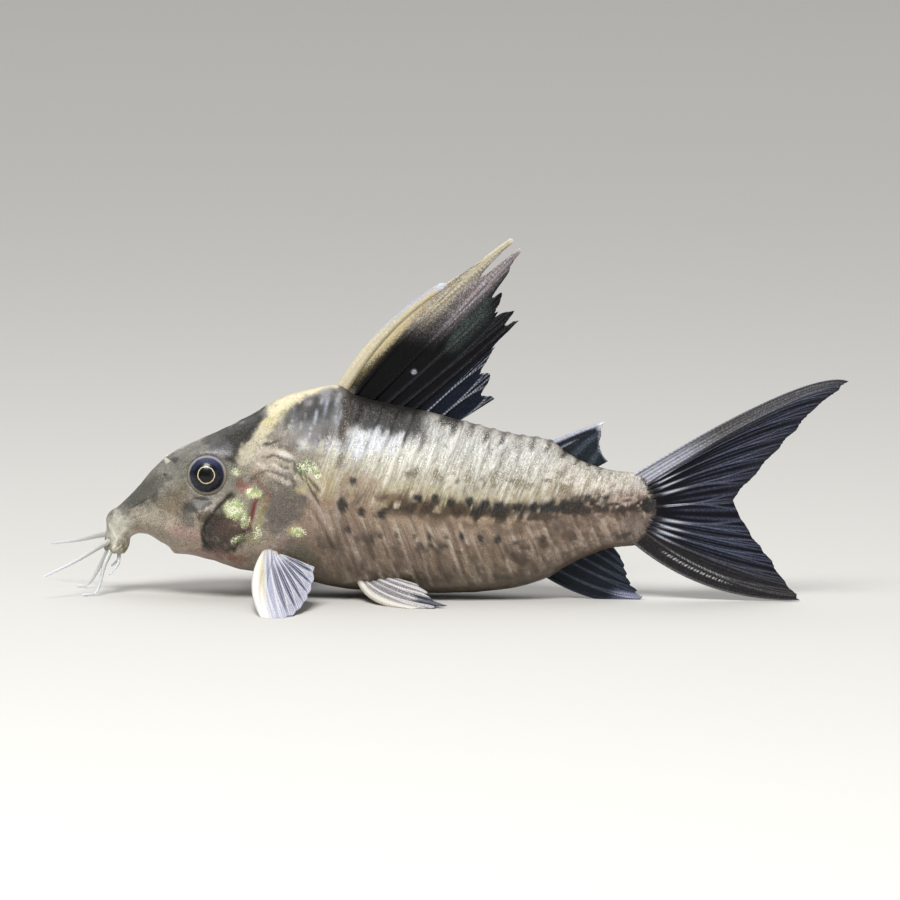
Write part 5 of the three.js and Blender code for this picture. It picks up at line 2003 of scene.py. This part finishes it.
@dataclass
class Studio:
    """A pale floor, soft lights and a camera level with the fish. Metres and radians."""

    distance: float = 0.9
    elevation: float = math.radians(6.0)
    aim: tuple[float, float, float] = (0.00033, 0.0, 0.01643)
    roll: float = 0.0138
    pixels_per_mm: float = 9.0
    picture_pixels: int = 900
    sensor_mm: float = 36
    air: float = 0.24
    lit_point: tuple[float, float, float] = (0, 0, 0.012)
    lamps: tuple[Lamp, ...] = (
        Lamp("key", (-0.1, -0.34, 0.5), 0.26, 3.9),
        Lamp("fill", (0.4, -0.6, 0.12), 0.5, 0.7),
        Lamp("ceiling", (0.0, 1.0, 1.8), 2.6, 27.0),
    )

    def build(self) -> None:
        """Set up floor, lights and camera."""
        self.floor()
        self.lights()
        self.camera()

    def floor(self) -> None:
        """Lay a large matt floor under the fish."""
        bm = bmesh.new()
        bmesh.ops.create_grid(bm, x_segments=1, y_segments=1, size=3.0)
        floor = finish_mesh("floor", bm)
        # Uncoated paper: pale and without a shine
        floor.data.materials.append(Finish("matt_paper").shade(Base_Color="cfcdc8", Roughness=0.8))

    def lights(self) -> None:
        """Hang a broad key light up and to the front left, a fill to the right and a wide one behind."""
        world = bpy.data.worlds.new("studio_air")
        world.use_nodes = True
        world.node_tree.nodes["Background"].inputs[0].default_value = (*srgb("e3e5e8"), 1)
        world.node_tree.nodes["Background"].inputs[1].default_value = self.air
        bpy.context.scene.world = world
        for lamp in self.lamps:
            light = bpy.data.lights.new(lamp.name, "AREA")
            light.size = lamp.size
            light.energy = lamp.power
            hung = bpy.data.objects.new(lamp.name, light)
            hung.location = lamp.place
            aim = Vector(self.lit_point) - Vector(lamp.place)
            hung.rotation_euler = aim.to_track_quat("-Z", "Y").to_euler()
            bpy.context.scene.collection.objects.link(hung)

    def camera(self) -> None:
        """Look at the left side from a little above, as the photograph does."""
        lens = bpy.data.cameras.new("camera")
        lens.sensor_width = self.sensor_mm
        lens.lens = self.sensor_mm * self.pixels_per_mm * self.distance / MM / self.picture_pixels
        lens.clip_start = 0.01
        lens.clip_end = 20
        eye = bpy.data.objects.new("camera", lens)
        away = Vector((0, -math.cos(self.elevation), math.sin(self.elevation)))
        eye.location = Vector(self.aim) + away * self.distance
        turn = (-away).to_track_quat("-Z", "Y").to_matrix().to_4x4()
        eye.rotation_euler = (turn @ Matrix.Rotation(self.roll, 4, "Z")).to_euler()
        bpy.context.scene.collection.objects.link(eye)
        bpy.context.scene.camera = eye


# Putting it together


@dataclass
class Catfish:
    """The whole fish."""

    eye: Eye = field(default_factory=Eye)
    armour: Armour = field(default_factory=Armour)
    nostril: NostrilFlap = field(default_factory=NostrilFlap)

    def build(self) -> None:
        """Build and dress every piece."""
        skin = Skin(BodyPlan(RIBS), self.armour, self.eye).build()
        covered = ["head", "trunk", "tail_stalk", "gill_cover_left", "gill_cover_right"]
        self.dress(skin, WetSkin().material(), "body_skin", covered)
        glass = WetEye(self.eye.radius).material()
        flap = FlapSkin().material()
        for side in Side:
            self.dress(self.eye.build(side), glass, "eye", [f"eye_{side.word}"])
            self.dress(self.nostril.build(side), flap, "head_skin", [])
        feeler = FeelerSkin().material()
        for node, barbel in BARBELS.items():
            self.dress(barbel.build(), feeler, "barbel_skin", [node])
        self.fins()

    def fins(self) -> None:
        """Build the fins in their own tints."""
        sail = FinSkin("dorsal_fin_skin", grain=0.8).material()
        tail = FinSkin("tail_fin_skin", grain=0.5).material()
        keel = FinSkin("anal_fin_skin", grain=0.5, pale="9aa0b4").material()
        spur = FinSkin("adipose_fin_skin", grain=0.6).material()
        pale = FinSkin("breast_fin_skin", grain=0.4, pale="f2f2f4", dark="4a4a58").material()
        low = FinSkin("belly_fin_skin", grain=0.5, pale="f0ece6", dark="4a4540").material()
        bony = FinSkin("bony_spine_skin", grain=0.35, pale="efe8d2", dark="776a4e").material()
        cream = bone("c8bea3", "a3a9be", "a5966c", "c3c8d6")
        dorsal = Spine("dorsal_spine", Ray((-12.7, 21.3), (-0.35, 34.95), (-0.85, 1.0)), 1.5, 1.0, 0.55, cream)
        ash = bone("b3aa93", "c9c1ab", "8f8670", "c8c5bd")
        mauve = bone("8a8183", "a39a9c", "655d60", "b9b3b4")
        first = Spine("dorsal_tip_first", Ray((1.44, 35.29), (7.0, 40.0), (-0.05, 0.05)), 1.0, 0.42, 0.6, ash)
        second = Spine("dorsal_tip_second", Ray((4.2, 34.96), (7.9, 38.95)), 0.9, 0.38, 0.5, mauve)
        for spine in (dorsal, first, second):
            self.dress(spine.build(), bony, "dark_fin", ["dorsal_fin"])
        for fin, finish, node in (
            (DORSAL, sail, "dorsal_fin"),
            (ADIPOSE, spur, "adipose_fin"),
            (ANAL, keel, "anal_fin"),
            (CAUDAL_UPPER, tail, "caudal_fin_upper"),
            (CAUDAL_LOWER, tail, "caudal_fin_lower"),
        ):
            self.dress(fin.build(), finish, "dark_fin", [node])
        for side in Side:
            for (fin, node), finish in zip(paired_fins(side), (pale, low)):
                self.dress(fin.build(), finish, "pale_fin", [node])

    @staticmethod
    def dress(piece: bpy.types.Object, material: bpy.types.Material, slot: str, nodes: Sequence[str]) -> None:
        """Give a piece its finish, hang it under the root body and hide the solids that it stands for.

        Args:
            piece: The piece.
            material: Its finish.
            slot: The record's material slot; not used.
            nodes: The solids that it stands for.
        """
        piece.data.materials.append(material)
        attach(piece, "root")
        if nodes:
            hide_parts(*nodes)
        LOG.info("%s: %d faces", piece.name, len(piece.data.polygons))


def main() -> None:
    """Build the fish and the studio."""
    logging.basicConfig(level=logging.INFO, format="%(message)s")
    bpy.context.scene.view_settings.view_transform = "Standard"
    Catfish().build()
    Studio().build()


if __name__ == "__main__":
    main()
